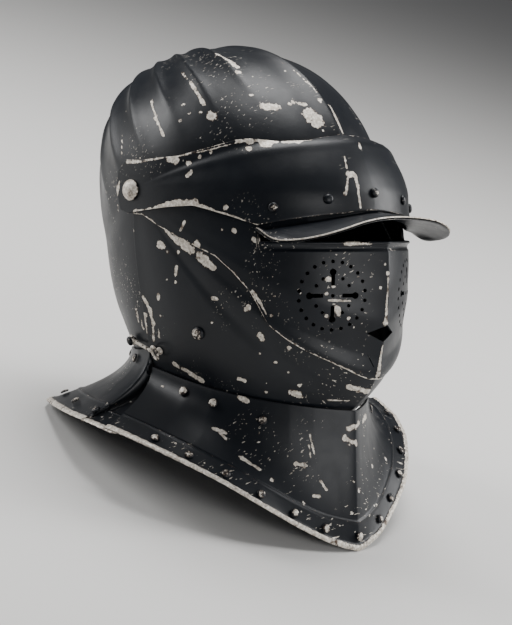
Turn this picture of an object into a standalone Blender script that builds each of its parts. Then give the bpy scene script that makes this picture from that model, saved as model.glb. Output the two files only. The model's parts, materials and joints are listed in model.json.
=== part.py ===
import bpy
from math import acos, asin, atan2, cos, degrees, floor, pi, radians, sin, sqrt
from mathutils import Matrix, Vector

# Sizes in metres, in the level pose: X across, -Y to the front, Z up, pivot line through the origin
HALF_WIDTH = 0.1026
PLATE = 0.0018
GAP = 0.0004
LAYER = PLATE + GAP
PIVOT_HOLE = 0.0042
BOLT_HEAD = 0.0072
RIVET_HEAD = 0.0034
RIM_RIVET_HEAD = 0.0031
KEEL_SLOPE = 0.30
RIDGE_HEIGHT = 0.0042
RIDGE_COUNT = 20
FIRST_RIDGE = 28.0
FINIAL_ANGLE = 127.0
FINIAL_RADIUS = 0.0047
FINIAL_HEIGHT = 0.0070
BREATH_RADIUS = 0.0225
BREATH_HOLE = 0.0013
FLAT_DEPTH = 0.0005
SEGMENTS_ACROSS = 16
HOOK_BAR = 0.0032
HOOK_PIN = 0.0014
HOOK_LIFT = 0.0016
HOOK_FWD = -0.265
HOOK_UP = -1.000
STUD_FWD = 0.061
STUD_UP = -1.062
SEAT_OVERLAP = 0.085

# Reach of each plate from the pivot line, by angle above straight ahead, as shares of HALF_WIDTH
SKULL = [
    {"angle": -60, "reach": 1.618, "full": 2.05},
    {"angle": -30, "reach": 1.267, "full": 2.00},
    {"angle": 0, "reach": 1.010, "full": 2.00},
    {"angle": 20, "reach": 0.985, "full": 2.05},
    {"angle": 43, "reach": 0.955, "full": 2.10},
    {"angle": 57, "reach": 0.951, "full": 2.10},
    {"angle": 66, "reach": 0.955, "full": 2.10},
    {"angle": 81, "reach": 0.965, "full": 2.10},
    {"angle": 98, "reach": 1.005, "full": 2.10},
    {"angle": 131, "reach": 1.095, "full": 2.10},
    {"angle": 155, "reach": 1.010, "full": 2.10},
    {"angle": 180, "reach": 0.985, "full": 2.00},
    {"angle": 205, "reach": 1.030, "full": 2.00},
    {"angle": 237, "reach": 1.310, "full": 2.08},
    {"angle": 270, "reach": 1.700, "full": 2.15},
]
BROW = [
    {"angle": -30, "reach": 1.462, "full": 2.20},
    {"angle": -14, "reach": 1.296, "full": 2.20},
    {"angle": -6, "reach": 1.252, "full": 2.15},
    {"angle": -1, "reach": 1.238, "full": 2.15},
    {"angle": 3, "reach": 1.212, "full": 2.15},
    {"angle": 13, "reach": 1.140, "full": 2.10},
    {"angle": 16, "reach": 1.121, "full": 2.10},
    {"angle": 21, "reach": 1.055, "full": 2.10},
    {"angle": 40, "reach": 1.050, "full": 2.10},
    {"angle": 90, "reach": 1.250, "full": 2.00},
    {"angle": 180, "reach": 1.700, "full": 2.00},
    {"angle": 270, "reach": 1.700, "full": 2.00},
]
FACE = [
    {"angle": -90, "reach": 1.830, "full": 2.00},
    {"angle": -44, "reach": 1.776, "full": 2.00},
    {"angle": -40, "reach": 1.696, "full": 2.00},
    {"angle": -36, "reach": 1.642, "full": 2.00},
    {"angle": -32, "reach": 1.598, "full": 2.00},
    {"angle": -29, "reach": 1.555, "full": 2.00},
    {"angle": -25, "reach": 1.511, "full": 2.00},
    {"angle": -19, "reach": 1.447, "full": 2.00},
    {"angle": -14, "reach": 1.400, "full": 2.00},
    {"angle": 0, "reach": 1.190, "full": 2.00},
    {"angle": 20, "reach": 1.140, "full": 2.00},
    {"angle": 90, "reach": 1.200, "full": 2.00},
    {"angle": 180, "reach": 1.560, "full": 2.00},
    {"angle": 225, "reach": 1.740, "full": 2.00},
]
CHIN = [
    {"angle": -125, "reach": 1.800, "full": 2.20},
    {"angle": -90, "reach": 1.820, "full": 2.22},
    {"angle": -72, "reach": 1.820, "full": 2.35},
    {"angle": -54, "reach": 1.788, "full": 2.12},
    {"angle": -49, "reach": 1.784, "full": 2.00},
    {"angle": -44, "reach": 1.749, "full": 2.00},
    {"angle": -40, "reach": 1.669, "full": 2.00},
    {"angle": -36, "reach": 1.615, "full": 2.00},
    {"angle": -32, "reach": 1.570, "full": 2.00},
    {"angle": -28, "reach": 1.515, "full": 2.00},
    {"angle": -14, "reach": 1.340, "full": 2.00},
    {"angle": 0, "reach": 1.120, "full": 2.00},
    {"angle": 20, "reach": 1.100, "full": 2.00},
    {"angle": 90, "reach": 1.130, "full": 2.00},
    {"angle": 180, "reach": 1.462, "full": 2.00},
]

# Edges seen from the side: forward and up, as shares of HALF_WIDTH
SKULL_SIDE = [
    {"fwd": -2.0, "up": -1.160}, {"fwd": 0.097, "up": -1.160}, {"fwd": 0.097, "up": -0.150},
    {"fwd": 0.32, "up": 0.010}, {"fwd": 2.0, "up": 0.080}, {"fwd": 2.0, "up": 2.0},
    {"fwd": -2.0, "up": 2.0},
]
BROW_SIDE = [
    {"fwd": -0.156, "up": 0.0}, {"fwd": -0.125, "up": -0.125}, {"fwd": -0.04, "up": -0.154},
    {"fwd": 0.013, "up": -0.144}, {"fwd": 0.319, "up": -0.113}, {"fwd": 0.512, "up": -0.104},
    {"fwd": 0.600, "up": -0.125}, {"fwd": 0.757, "up": -0.173}, {"fwd": 0.903, "up": -0.229},
    {"fwd": 1.213, "up": -0.153}, {"fwd": 1.250, "up": -0.130}, {"fwd": 1.6, "up": -0.12},
    {"fwd": 1.6, "up": 0.50}, {"fwd": 1.006, "up": 0.372}, {"fwd": 0.982, "up": 0.316},
    {"fwd": 0.877, "up": 0.307},
    {"fwd": 0.745, "up": 0.325}, {"fwd": 0.689, "up": 0.316}, {"fwd": 0.564, "up": 0.270},
    {"fwd": 0.374, "up": 0.217}, {"fwd": 0.236, "up": 0.208}, {"fwd": 0.078, "up": 0.195},
    {"fwd": -0.070, "up": 0.202}, {"fwd": -0.146, "up": 0.132},
]
FACE_SIDE = [
    {"fwd": -0.150, "up": 0.0}, {"fwd": -0.108, "up": -0.108}, {"fwd": 0.0, "up": -0.157},
    {"fwd": 0.078, "up": -0.161}, {"fwd": 0.225, "up": -0.236}, {"fwd": 0.458, "up": -0.343},
    {"fwd": 0.637, "up": -0.427}, {"fwd": 0.734, "up": -0.521}, {"fwd": 0.829, "up": -0.647},
    {"fwd": 0.919, "up": -0.868}, {"fwd": 1.002, "up": -0.968}, {"fwd": 1.049, "up": -1.012},
    {"fwd": 1.154, "up": -1.099}, {"fwd": 1.210, "up": -1.159}, {"fwd": 1.253, "up": -1.228},
    {"fwd": 1.9, "up": -1.300}, {"fwd": 1.9, "up": -0.334}, {"fwd": 0.897, "up": -0.334},
    {"fwd": 0.877, "up": -0.229}, {"fwd": 0.830, "up": -0.060}, {"fwd": 0.585, "up": 0.039},
    {"fwd": 0.292, "up": 0.097}, {"fwd": 0.097, "up": 0.136}, {"fwd": 0.0, "up": 0.150},
    {"fwd": -0.108, "up": 0.108},
]
CHIN_SIDE = [
    {"fwd": -0.135, "up": 0.0}, {"fwd": -0.100, "up": -0.095}, {"fwd": -0.039, "up": -0.150},
    {"fwd": -0.034, "up": -0.409}, {"fwd": -0.029, "up": -0.575}, {"fwd": -0.019, "up": -0.741},
    {"fwd": -0.039, "up": -0.999}, {"fwd": -0.058, "up": -1.241}, {"fwd": 0.312, "up": -1.335},
    {"fwd": 0.400, "up": -1.380}, {"fwd": 0.80, "up": -1.490}, {"fwd": 1.9, "up": -1.510},
    {"fwd": 1.9, "up": -1.05}, {"fwd": 1.17, "up": -0.965}, {"fwd": 1.03, "up": -0.80},
    {"fwd": 0.93, "up": -0.62}, {"fwd": 0.78, "up": -0.38}, {"fwd": 0.585, "up": -0.22},
    {"fwd": 0.312, "up": -0.03}, {"fwd": 0.127, "up": 0.09}, {"fwd": 0.0, "up": 0.135},
    {"fwd": -0.095, "up": 0.095},
]

# Neck line and rim of the two gorget plates, one row per station from the middle to the side
GORGET_FRONT = [
    {"across": 0.000, "fwd": 1.088, "up": -1.448, "rim_across": 0.0, "rim_fwd": 1.115, "rim_up": -2.368},
    {"across": 0.128, "fwd": 1.030, "up": -1.437, "rim_across": 0.130, "rim_fwd": 1.105, "rim_up": -2.335},
    {"across": 0.260, "fwd": 0.958, "up": -1.420, "rim_across": 0.265, "rim_fwd": 1.080, "rim_up": -2.285},
    {"across": 0.392, "fwd": 0.860, "up": -1.397, "rim_across": 0.490, "rim_fwd": 1.000, "rim_up": -2.165},
    {"across": 0.515, "fwd": 0.740, "up": -1.369, "rim_across": 0.715, "rim_fwd": 0.905, "rim_up": -2.020},
    {"across": 0.618, "fwd": 0.607, "up": -1.338, "rim_across": 0.910, "rim_fwd": 0.765, "rim_up": -1.875},
    {"across": 0.700, "fwd": 0.448, "up": -1.300, "rim_across": 1.090, "rim_fwd": 0.590, "rim_up": -1.745},
    {"across": 0.747, "fwd": 0.270, "up": -1.258, "rim_across": 1.220, "rim_fwd": 0.395, "rim_up": -1.640},
    {"across": 0.778, "fwd": 0.000, "up": -1.193, "rim_across": 1.300, "rim_fwd": 0.190, "rim_up": -1.560},
    {"across": 0.782, "fwd": -0.058, "up": -1.178, "rim_across": 1.330, "rim_fwd": 0.110, "rim_up": -1.535},
]
GORGET_REAR = [
    {"across": 0.000, "fwd": -0.735, "up": -1.075, "rim_across": 0.0, "rim_fwd": -1.175, "rim_up": -1.470},
    {"across": 0.155, "fwd": -0.718, "up": -1.075, "rim_across": 0.250, "rim_fwd": -1.175, "rim_up": -1.470},
    {"across": 0.300, "fwd": -0.673, "up": -1.075, "rim_across": 0.480, "rim_fwd": -1.175, "rim_up": -1.470},
    {"across": 0.440, "fwd": -0.601, "up": -1.075, "rim_across": 0.700, "rim_fwd": -1.165, "rim_up": -1.470},
    {"across": 0.562, "fwd": -0.503, "up": -1.075, "rim_across": 0.860, "rim_fwd": -1.080, "rim_up": -1.462},
    {"across": 0.664, "fwd": -0.382, "up": -1.075, "rim_across": 0.985, "rim_fwd": -0.850, "rim_up": -1.480},
    {"across": 0.735, "fwd": -0.250, "up": -1.075, "rim_across": 1.130, "rim_fwd": -0.540, "rim_up": -1.500},
    {"across": 0.776, "fwd": -0.088, "up": -1.075, "rim_across": 1.245, "rim_fwd": -0.230, "rim_up": -1.515},
    {"across": 0.785, "fwd": -0.080, "up": -1.275, "rim_across": 1.246, "rim_fwd": -0.222, "rim_up": -1.517},
    {"across": 0.755, "fwd": 0.030, "up": -1.305, "rim_across": 1.262, "rim_fwd": -0.050, "rim_up": -1.546},
    {"across": 0.735, "fwd": 0.100, "up": -1.330, "rim_across": 1.250, "rim_fwd": 0.080, "rim_up": -1.578},
    {"across": 0.710, "fwd": 0.170, "up": -1.360, "rim_across": 1.185, "rim_fwd": 0.160, "rim_up": -1.572},
]
# Down the collar: 0 at the neck and 1 at the rim; lift raises the face, back thickens it
COLLAR_STEPS = [
    {"down": 0.0, "lift": 0.0, "back": 0.0},
    {"down": 0.14, "lift": 0.0, "back": 0.0},
    {"down": 0.36, "lift": 0.0, "back": 0.0},
    {"down": 0.60, "lift": 0.0, "back": 0.0},
    {"down": 0.76, "lift": 0.0, "back": 0.0},
    {"down": 0.78, "lift": 0.0009, "back": 0.0},
    {"down": 0.95, "lift": 0.0, "back": 0.0},
    {"down": 0.97, "lift": 0.0014, "back": 0.0010},
    {"down": 1.0, "lift": 0.0006, "back": 0.0006},
]
PEAK_STATIONS = [
    {"across": 0.0, "up": -0.156, "edge_across": 0.0, "edge_fwd": 1.470, "edge_up": -0.182},
    {"across": 0.13, "up": -0.168, "edge_across": 0.200, "edge_fwd": 1.487, "edge_up": -0.190},
    {"across": 0.27, "up": -0.188, "edge_across": 0.370, "edge_fwd": 1.490, "edge_up": -0.214},
    {"across": 0.41, "up": -0.209, "edge_across": 0.505, "edge_fwd": 1.455, "edge_up": -0.254},
    {"across": 0.53, "up": -0.229, "edge_across": 0.618, "edge_fwd": 1.360, "edge_up": -0.296},
    {"across": 0.63, "up": -0.244, "edge_across": 0.695, "edge_fwd": 1.220, "edge_up": -0.323},
    {"across": 0.69, "up": -0.254, "edge_across": 0.728, "edge_fwd": 1.050, "edge_up": -0.322},
]


def clear_scene():
    for item in list(bpy.data.objects):
        bpy.data.objects.remove(item, do_unlink=True)


def metal(name, colour, roughness):
    material = bpy.data.materials.new(name)
    material.use_nodes = True
    shader = material.node_tree.nodes["Principled BSDF"]
    shader.inputs["Base Color"].default_value = (*colour, 1.0)
    shader.inputs["Roughness"].default_value = roughness
    shader.inputs["Metallic"].default_value = 0.9
    return material


def make(name, points, faces, material=None):
    mesh = bpy.data.meshes.new(name)
    mesh.from_pydata([tuple(p) for p in points], [], faces)
    volume = 0.0
    for face in mesh.polygons:
        first = mesh.vertices[face.vertices[0]].co
        for i in range(1, len(face.vertices) - 1):
            volume += first.dot(mesh.vertices[face.vertices[i]].co.cross(
                mesh.vertices[face.vertices[i + 1]].co))
    if volume < 0:
        mesh.flip_normals()
    mesh.update()
    item = bpy.data.objects.new(name, mesh)
    bpy.context.collection.objects.link(item)
    if material:
        mesh.materials.append(material)
    return item


def smooth_value(rows, key, angle):
    first = rows[0]["angle"]
    angle = (angle - first) % 360.0 + first
    knots = rows + [{**rows[0], "angle": first + 360.0}]
    count = len(rows)
    index = max(i for i in range(count) if knots[i]["angle"] <= angle)
    left, right = knots[index], knots[index + 1]

    def slope(i):
        a, b, c = knots[(i - 1) % count], knots[i % count], knots[(i + 1) % count]
        before = ((b["angle"] - a["angle"]) % 360.0) or 360.0
        after = ((c["angle"] - b["angle"]) % 360.0) or 360.0
        one, two = (b[key] - a[key]) / before, (c[key] - b[key]) / after
        return 0.0 if one * two <= 0 else 2.0 * one * two / (one + two)

    span = right["angle"] - left["angle"]
    t = (angle - left["angle"]) / span
    return (left[key] * (1 + 2 * t) * (1 - t) ** 2 + slope(index) * span * t * (1 - t) ** 2
            + right[key] * t * t * (3 - 2 * t) + slope(index + 1) * span * t * t * (t - 1))


def plate_point(rows, keel, inset, angle, turn, depth=0.0):
    half = HALF_WIDTH - inset - depth
    reach = smooth_value(rows, "reach", angle) * HALF_WIDTH - depth
    power = smooth_value(rows, "full", angle)
    across = half * sin(turn) ** (2 / power) if turn >= 0 else -half * sin(-turn) ** (2 / power)
    out = reach * max(cos(turn), 0.0) ** (2 / power)
    out -= keel * abs(across) * (1 - abs(across) / half)
    a = radians(angle)
    return Vector((across, -out * cos(a), out * sin(a)))


def plate_at_height(rows, keel, depth, across, up):
    half = HALF_WIDTH - depth
    angle = 0.0
    for i in range(12):
        power = smooth_value(rows, "full", angle)
        turn = asin((abs(across) * HALF_WIDTH / half) ** (power / 2))
        spot = plate_point(rows, keel, 0.0, angle, turn if across >= 0 else -turn, depth)
        angle = degrees(asin(up * HALF_WIDTH / sqrt(spot.y ** 2 + spot.z ** 2)))
    return spot


def end_turn(rows, depth, angle):
    reach = smooth_value(rows, "reach", angle) * HALF_WIDTH - depth
    power = smooth_value(rows, "full", angle)
    return acos((PIVOT_HOLE / reach) ** (power / 2))


def shell(name, rows, keel, inset, angle_step, across, material):
    angles = [a * angle_step for a in range(round(360 / angle_step))]
    points, faces = [], []
    for depth in (0.0, PLATE):
        for angle in angles:
            last = end_turn(rows, depth, angle)
            for i in range(across + 1):
                turn = last * (2 * i / across - 1)
                points.append(plate_point(rows, keel, inset, angle, turn, depth))
    total, wide = len(angles), across + 1
    inner = total * wide
    for row in range(total):
        here, there = row * wide, (row + 1) % total * wide
        for i in range(across):
            faces.append((here + i, here + i + 1, there + i + 1, there + i))
            faces.append((inner + here + i, inner + there + i, inner + there + i + 1,
                          inner + here + i + 1))
        faces.append((here, there, inner + there, inner + here))
        end = across
        faces.append((here + end, inner + here + end, inner + there + end, there + end))
    return make(name, points, faces, material)


def prism(name, outline, half=1.5):
    count = len(outline)
    ring = [(-row["fwd"] * HALF_WIDTH, row["up"] * HALF_WIDTH) for row in outline]
    points = [(x * half * HALF_WIDTH, y, z) for x in (-1, 1) for y, z in ring]
    faces = [tuple(range(count)), tuple(range(2 * count - 1, count - 1, -1))]
    faces += [(i, i + count, (i + 1) % count + count, (i + 1) % count) for i in range(count)]
    return cutter(make(name, points, faces))


def cutter(item):
    item.hide_render = True
    item.display_type = "WIRE"
    return item


def cut(item, tool, how="DIFFERENCE"):
    step = item.modifiers.new(how.lower(), "BOOLEAN")
    step.operation = how
    step.solver = "EXACT"
    step.object = tool


def turned(name, profile, at, out, sides, material):
    axis = Vector(out).normalized()
    side = axis.orthogonal().normalized()
    other = axis.cross(side)
    points, faces, rings = [], [], []
    for radius, height in profile:
        if radius <= 0:
            rings.append([len(points)])
            points.append(at + axis * height)
            continue
        rings.append(list(range(len(points), len(points) + sides)))
        for k in range(sides):
            a = 2 * pi * k / sides
            points.append(at + axis * height + (side * cos(a) + other * sin(a)) * radius)
    for low, high in zip(rings, rings[1:]):
        for k in range(sides):
            m = (k + 1) % sides
            if len(low) == 1:
                faces.append((low[0], high[m], high[k]))
            elif len(high) == 1:
                faces.append((low[k], low[m], high[0]))
            else:
                faces.append((low[k], low[m], high[m], high[k]))
    if len(rings[0]) > 1:
        faces.append(tuple(reversed(rings[0])))
    if len(rings[-1]) > 1:
        faces.append(tuple(rings[-1]))
    return make(name, points, faces, material)


def rivet(name, at, out, radius, height, material, sides=10):
    base = at + Vector(out).normalized() * (GAP if sides > 8 else 3 * GAP)
    profile = [(radius, 0.0), (radius * 0.80, height * 0.68), (0.0, height)]
    return turned(name, profile, base, out, sides, material)


def normal_at(place, a, b, step=0.02):
    along = place(a + step, b) - place(a - step, b)
    across = place(a, b + step) - place(a, b - step)
    out = along.cross(across).normalized()
    middle = Vector((0, 0, place(a, b).z))
    return out if out.dot(place(a, b) - middle) > 0 else -out


def skull_radius(direction, depth):
    angle = degrees(atan2(direction.z, -direction.y))
    half = HALF_WIDTH - 3 * LAYER - depth
    reach = smooth_value(SKULL, "reach", angle) * HALF_WIDTH - depth
    power = smooth_value(SKULL, "full", angle)
    span = sqrt(direction.y ** 2 + direction.z ** 2)
    return ((abs(direction.x) / half) ** power + (span / reach) ** power) ** (-1 / power)


def skull_directions():
    step = (180.0 - FIRST_RIDGE) / (RIDGE_COUNT / 2 - 1)
    crests = [0.0] + [FIRST_RIDGE + i * step for i in range(RIDGE_COUNT // 2)]
    crests += [360.0 - c for c in reversed(crests[1:-1])] + [360.0]
    turns = []
    for left, right in zip(crests, crests[1:]):
        turns += [(left, 1.0), ((left + right) / 2, 0.0)]
    return turns


def skull_point(away, around, ridge, depth=0.0):
    tilt = radians(FINIAL_ANGLE)
    axis = Vector((0, -cos(tilt), sin(tilt)))
    ahead = Vector((0, -sin(tilt), -cos(tilt)))
    side = Vector((1, 0, 0))
    a, b = radians(away), radians(around)
    direction = axis * cos(a) + (ahead * cos(b) + side * sin(b)) * sin(a)
    swell = min(max((away - 6) / 16, 0), 1) * min(max((84 - away) / 40, 0), 1)
    if ridge == 1.0 and around % 360 == 0:
        swell = min(max((away - 6) / 16, 0), 1) * min(max((128 - away) / 20, 0), 1)
    return direction * (skull_radius(direction, depth) + RIDGE_HEIGHT * ridge * swell)


def build_skull(material):
    turns = skull_directions()
    rings = [6, 18, 32, 46, 60, 74, 89, 104, 119, 134, 149, 162]
    points, faces = [], []
    count = len(turns)
    for depth in (0.0, PLATE):
        points.append(skull_point(0, 0, 0, depth))
        for away in rings:
            for around, ridge in turns:
                points.append(skull_point(away, around, ridge, depth))
    inner = 1 + len(rings) * count
    for base, flip in ((0, False), (inner, True)):
        for k in range(count):
            m = (k + 1) % count
            face = (base, base + 1 + k, base + 1 + m)
            faces.append(face[::-1] if flip else face)
            for row in range(len(rings) - 1):
                a, b = base + 1 + row * count, base + 1 + (row + 1) * count
                face = (a + k, b + k, b + m, a + m)
                faces.append(face[::-1] if flip else face)
    last = 1 + (len(rings) - 1) * count
    for k in range(count):
        m = (k + 1) % count
        faces.append((last + k, inner + last + k, inner + last + m, last + m))
    skull = make("skull", points, faces, material)
    cut(skull, prism("skull_side_cutter", SKULL_SIDE), "INTERSECT")
    holes = turned("skull_hole_cutter", [(PIVOT_HOLE, -0.12), (PIVOT_HOLE, 0.12)],
                   Vector((0, 0, 0)), (1, 0, 0), 16, None)
    cut(skull, cutter(holes))
    return skull


def build_finial(material):
    tilt = radians(FINIAL_ANGLE)
    out = Vector((0, -cos(tilt), sin(tilt)))
    at = skull_point(0, 0, 0) + out * GAP
    r, h = FINIAL_RADIUS, FINIAL_HEIGHT
    profile = [(r * 1.25, 0.0), (r * 1.2, h * 0.12), (r * 0.86, h * 0.25), (r * 0.86, h * 0.5),
               (r, h * 0.62), (r, h * 0.88), (r * 0.7, h)]
    return turned("finial", profile, at, out, 12, material)


def build_brow(material):
    item = shell("brow_plate", BROW, 0.03, 0.0, 10, SEGMENTS_ACROSS, material)
    cut(item, prism("brow_side_cutter", BROW_SIDE), "INTERSECT")
    return item


def build_face(material):
    item = shell("face_guard", FACE, KEEL_SLOPE, LAYER, 7.5, SEGMENTS_ACROSS, material)
    cut(item, prism("face_side_cutter", FACE_SIDE), "INTERSECT")
    cut(item, breath_cutter())
    return item


def build_chin(material):
    item = shell("chin_guard", CHIN, KEEL_SLOPE, 2 * LAYER, 10, SEGMENTS_ACROSS, material)
    cut(item, prism("chin_side_cutter", CHIN_SIDE), "INTERSECT")
    return item


def breath_cutter():
    points, faces = [], []

    def bar(middle, out, outline):
        start, count = len(points), len(outline)
        axis = out.normalized()
        side = Vector((-axis.y, axis.x, 0)).normalized()
        up = axis.cross(side)
        for depth in (-0.012, 0.012):
            points.extend(middle + axis * depth + side * u + up * v for u, v in outline)
        faces.append(tuple(reversed(range(start, start + count))))
        faces.append(tuple(range(start + count, start + 2 * count)))
        faces.extend((start + i, start + (i + 1) % count, start + (i + 1) % count + count,
                      start + i + count) for i in range(count))

    def ring(u, v, radius, sides):
        return [(u + radius * cos(2 * pi * i / sides), v + radius * sin(2 * pi * i / sides))
                for i in range(sides)]

    for hand in (-1, 1):
        middle = Vector((hand * 0.356, -1.204, -0.679)) * HALF_WIDTH
        out = Vector((hand * 0.52, -0.85, 0.0))
        for i in range(22):
            a = 2 * pi * (i + 0.5) / 22
            bar(middle, out, ring(BREATH_RADIUS * cos(a), BREATH_RADIUS * sin(a), BREATH_HOLE, 6))
        bar(middle, out, ring(0, 0, BREATH_HOLE, 8))
        for quarter in range(4):
            q = radians(90 * quarter)
            for shift in (-14, 14):
                a = q + radians(45 + shift)
                r = BREATH_RADIUS * 0.57
                bar(middle, out, ring(r * cos(a), r * sin(a), BREATH_HOLE * 0.95, 6))
            near, far = BREATH_RADIUS * 0.29, BREATH_RADIUS * 0.69
            half, lobe = BREATH_HOLE, BREATH_HOLE * 1.75
            key = [(near, -half), (far - lobe * 0.8, -half)]
            key += [(far + lobe * cos(radians(t)), lobe * sin(radians(t)))
                    for t in (-140, -90, -45, 0, 45, 90, 140)]
            key += [(far - lobe * 0.8, half), (near, half)]
            bar(middle, out, [(u * cos(q) - v * sin(q), u * sin(q) + v * cos(q)) for u, v in key])
    front = Vector((0, -1, 0))
    diamond = [(0.118, -0.928), (0.008, -0.874), (-0.128, -0.925), (-0.005, -0.984)]
    bar(Vector((0, -1.34 * HALF_WIDTH, 0)), front,
        [(u * HALF_WIDTH, v * HALF_WIDTH) for u, v in diamond])
    return cutter(make("breath_cutter", points, faces))


def inside_plate(rows, keel, inset, spot):
    half = HALF_WIDTH - inset + LAYER
    angle = degrees(atan2(spot.z, -spot.y))
    power = smooth_value(rows, "full", angle)
    reach = smooth_value(rows, "reach", angle) * HALF_WIDTH + LAYER
    across = abs(spot.x)
    out = sqrt(spot.y ** 2 + spot.z ** 2) + keel * across * (1 - across / half)
    return (across / half) ** power + (out / reach) ** power < 1


def seat_rows(rows, plate, keel, inset, plate_edge):
    seated = []
    for row in rows:
        factor = 0.0
        for up in (row["up"], row["up"] - SEAT_OVERLAP):
            low, high = 0.7, 1.3
            for i in range(30):
                mid = (low + high) / 2
                spot = Vector((row["across"] * mid, -row["fwd"] * mid, up)) * HALF_WIDTH
                if inside_plate(plate, keel, inset, spot):
                    low = mid
                else:
                    high = mid
            factor = max(factor, low)
        if row["up"] < plate_edge:
            factor = 1.0
        seated.append({**row, "across": row["across"] * factor, "fwd": row["fwd"] * factor})
    return seated


def collar_place(rows, station, down):
    index = min(int(floor(abs(station))), len(rows) - 2)
    t = abs(station) - index
    hand = -1 if station < 0 else 1
    low, high = rows[index], rows[index + 1]
    mixed = {key: low[key] * (1 - t) + high[key] * t for key in low}
    neck = Vector((hand * mixed["across"], -mixed["fwd"], mixed["up"])) * HALF_WIDTH
    rim = Vector((hand * mixed["rim_across"], -mixed["rim_fwd"], mixed["rim_up"])) * HALF_WIDTH
    knee = Vector((neck.x, neck.y, neck.z + 0.5 * (rim.z - neck.z)))
    return neck * (1 - down) ** 2 + knee * 2 * down * (1 - down) + rim * down ** 2


def collar(name, rows, material):
    last = len(rows) - 1
    stations = [s for s in range(-last, last + 1)]
    points, faces = [], []
    outer, inner = [], []
    for s in stations:
        for step in COLLAR_STEPS:
            place = lambda a, b: collar_place(rows, a, b)
            s_in = min(max(s, -last + 0.03), last - 0.03)
            d_in = min(max(step["down"], 0.03), 0.97)
            out = normal_at(place, s_in, d_in)
            spot = place(s, step["down"])
            outer.append(spot + out * step["lift"])
            inner.append(spot - out * (PLATE + step["back"]))
    points = outer + inner
    wide, total = len(COLLAR_STEPS), len(stations)
    base = wide * total
    for row in range(total - 1):
        for i in range(wide - 1):
            a, b = row * wide + i, (row + 1) * wide + i
            faces.append((a, a + 1, b + 1, b))
            faces.append((base + a, base + b, base + b + 1, base + a + 1))
        a, b = row * wide, (row + 1) * wide
        faces.append((a, b, base + b, base + a))
        a, b = a + wide - 1, b + wide - 1
        faces.append((a, base + a, base + b, b))
    for i in range(wide - 1):
        a, b = i, (total - 1) * wide + i
        faces.append((a, base + a, base + a + 1, a + 1))
        faces.append((b, b + 1, base + b + 1, base + b))
    return make(name, points, faces, material)


def rest_tilt():
    front, rear = GORGET_FRONT[0], GORGET_REAR[0]
    return -atan2(rear["rim_up"] - front["rim_up"], front["rim_fwd"] - rear["rim_fwd"])


def floor_cutter(depth, tilt):
    turn = Matrix.Rotation(-tilt, 3, "X")
    size = 4 * HALF_WIDTH
    top = depth
    corners = [(x, y, z) for z in (top - HALF_WIDTH, top) for x, y in
               ((-size, -size), (size, -size), (size, size), (-size, size))]
    points = [turn @ Vector(c) for c in corners]
    faces = [(3, 2, 1, 0), (4, 5, 6, 7), (0, 1, 5, 4), (1, 2, 6, 5), (2, 3, 7, 6), (3, 0, 4, 7)]
    return cutter(make("floor_cutter", points, faces))


def build_peak(material):
    points, faces = [], []
    last = len(PEAK_STATIONS) - 1
    stations = list(range(-last, last + 1))
    for s in stations:
        row = PEAK_STATIONS[abs(s)]
        hand = -1 if s < 0 else 1
        fold = plate_at_height(BROW, 0.03, LAYER + GAP, hand * row["across"], row["up"])
        edge = Vector((hand * row["edge_across"], -row["edge_fwd"], row["edge_up"])) * HALF_WIDTH
        flat = Vector((edge.x - fold.x, edge.y - fold.y, 0)).normalized()
        back = Vector((fold.x, fold.y, 0)).normalized()
        top = fold - back * HALF_WIDTH * 0.035 + Vector((0, 0, HALF_WIDTH * 0.150))
        run = edge - fold
        droop = Vector((0, 0, -0.012 * HALF_WIDTH))
        thick = Vector((0, 0, -PLATE))
        high = [top, fold + Vector((0, 0, 0.012 * HALF_WIDTH)) - back * 0.006 * HALF_WIDTH,
                fold + run * 0.10, fold + run * 0.5 - droop, fold + run * 0.93,
                edge + Vector((0, 0, 0.0009))]
        low = [top - back * PLATE, fold - back * PLATE * 1.3 + thick * 0.4, fold + run * 0.10 + thick,
               fold + run * 0.5 - droop + thick, fold + run * 0.93 + thick,
               edge + Vector((0, 0, -PLATE - 0.0006))]
        points += high + low
    wide = 6
    for k in range(len(stations) - 1):
        a, b = k * 2 * wide, (k + 1) * 2 * wide
        for i in range(wide - 1):
            faces.append((a + i, a + i + 1, b + i + 1, b + i))
            faces.append((a + wide + i, b + wide + i, b + wide + i + 1, a + wide + i + 1))
        faces.append((a, b, b + wide, a + wide))
        faces.append((a + wide - 1, a + 2 * wide - 1, b + 2 * wide - 1, b + wide - 1))
    for k in (0, len(stations) - 1):
        a = k * 2 * wide
        for i in range(wide - 1):
            face = (a + i, a + wide + i, a + wide + i + 1, a + i + 1)
            faces.append(face if k == 0 else face[::-1])
    return make("peak", points, faces, material)


def on_plate(rows, keel, inset, fwd, up, hand):
    angle = degrees(atan2(up, fwd))
    reach = sqrt(fwd * fwd + up * up) * HALF_WIDTH
    low, high = 0.0, radians(89.9)
    for i in range(40):
        mid = (low + high) / 2
        spot = plate_point(rows, keel, inset, angle, mid)
        if sqrt(spot.y ** 2 + spot.z ** 2) > reach:
            low = mid
        else:
            high = mid
    place = lambda a, b: plate_point(rows, keel, inset, angle + a, mid * hand + b)
    return place(0, 0), normal_at(place, 0.0, 0.0, 0.01)


def build_pivot_bolts(material):
    bolts = []
    for hand, side in ((-1, "right"), (1, "left")):
        out = Vector((hand, 0, 0))
        face = HALF_WIDTH + GAP
        start = HALF_WIDTH - 3 * LAYER - PLATE
        r = BOLT_HEAD
        profile = [(PIVOT_HOLE - GAP, start), (PIVOT_HOLE - GAP, face), (r, face),
                   (r * 0.96, face + r * 0.12), (r * 0.75, face + r * 0.38),
                   (r * 0.4, face + r * 0.55), (0.0, face + r * 0.6)]
        bolts.append(turned("pivot_bolt_" + side, profile, Vector((0, 0, 0)), out, 16, material))
    return bolts


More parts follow.
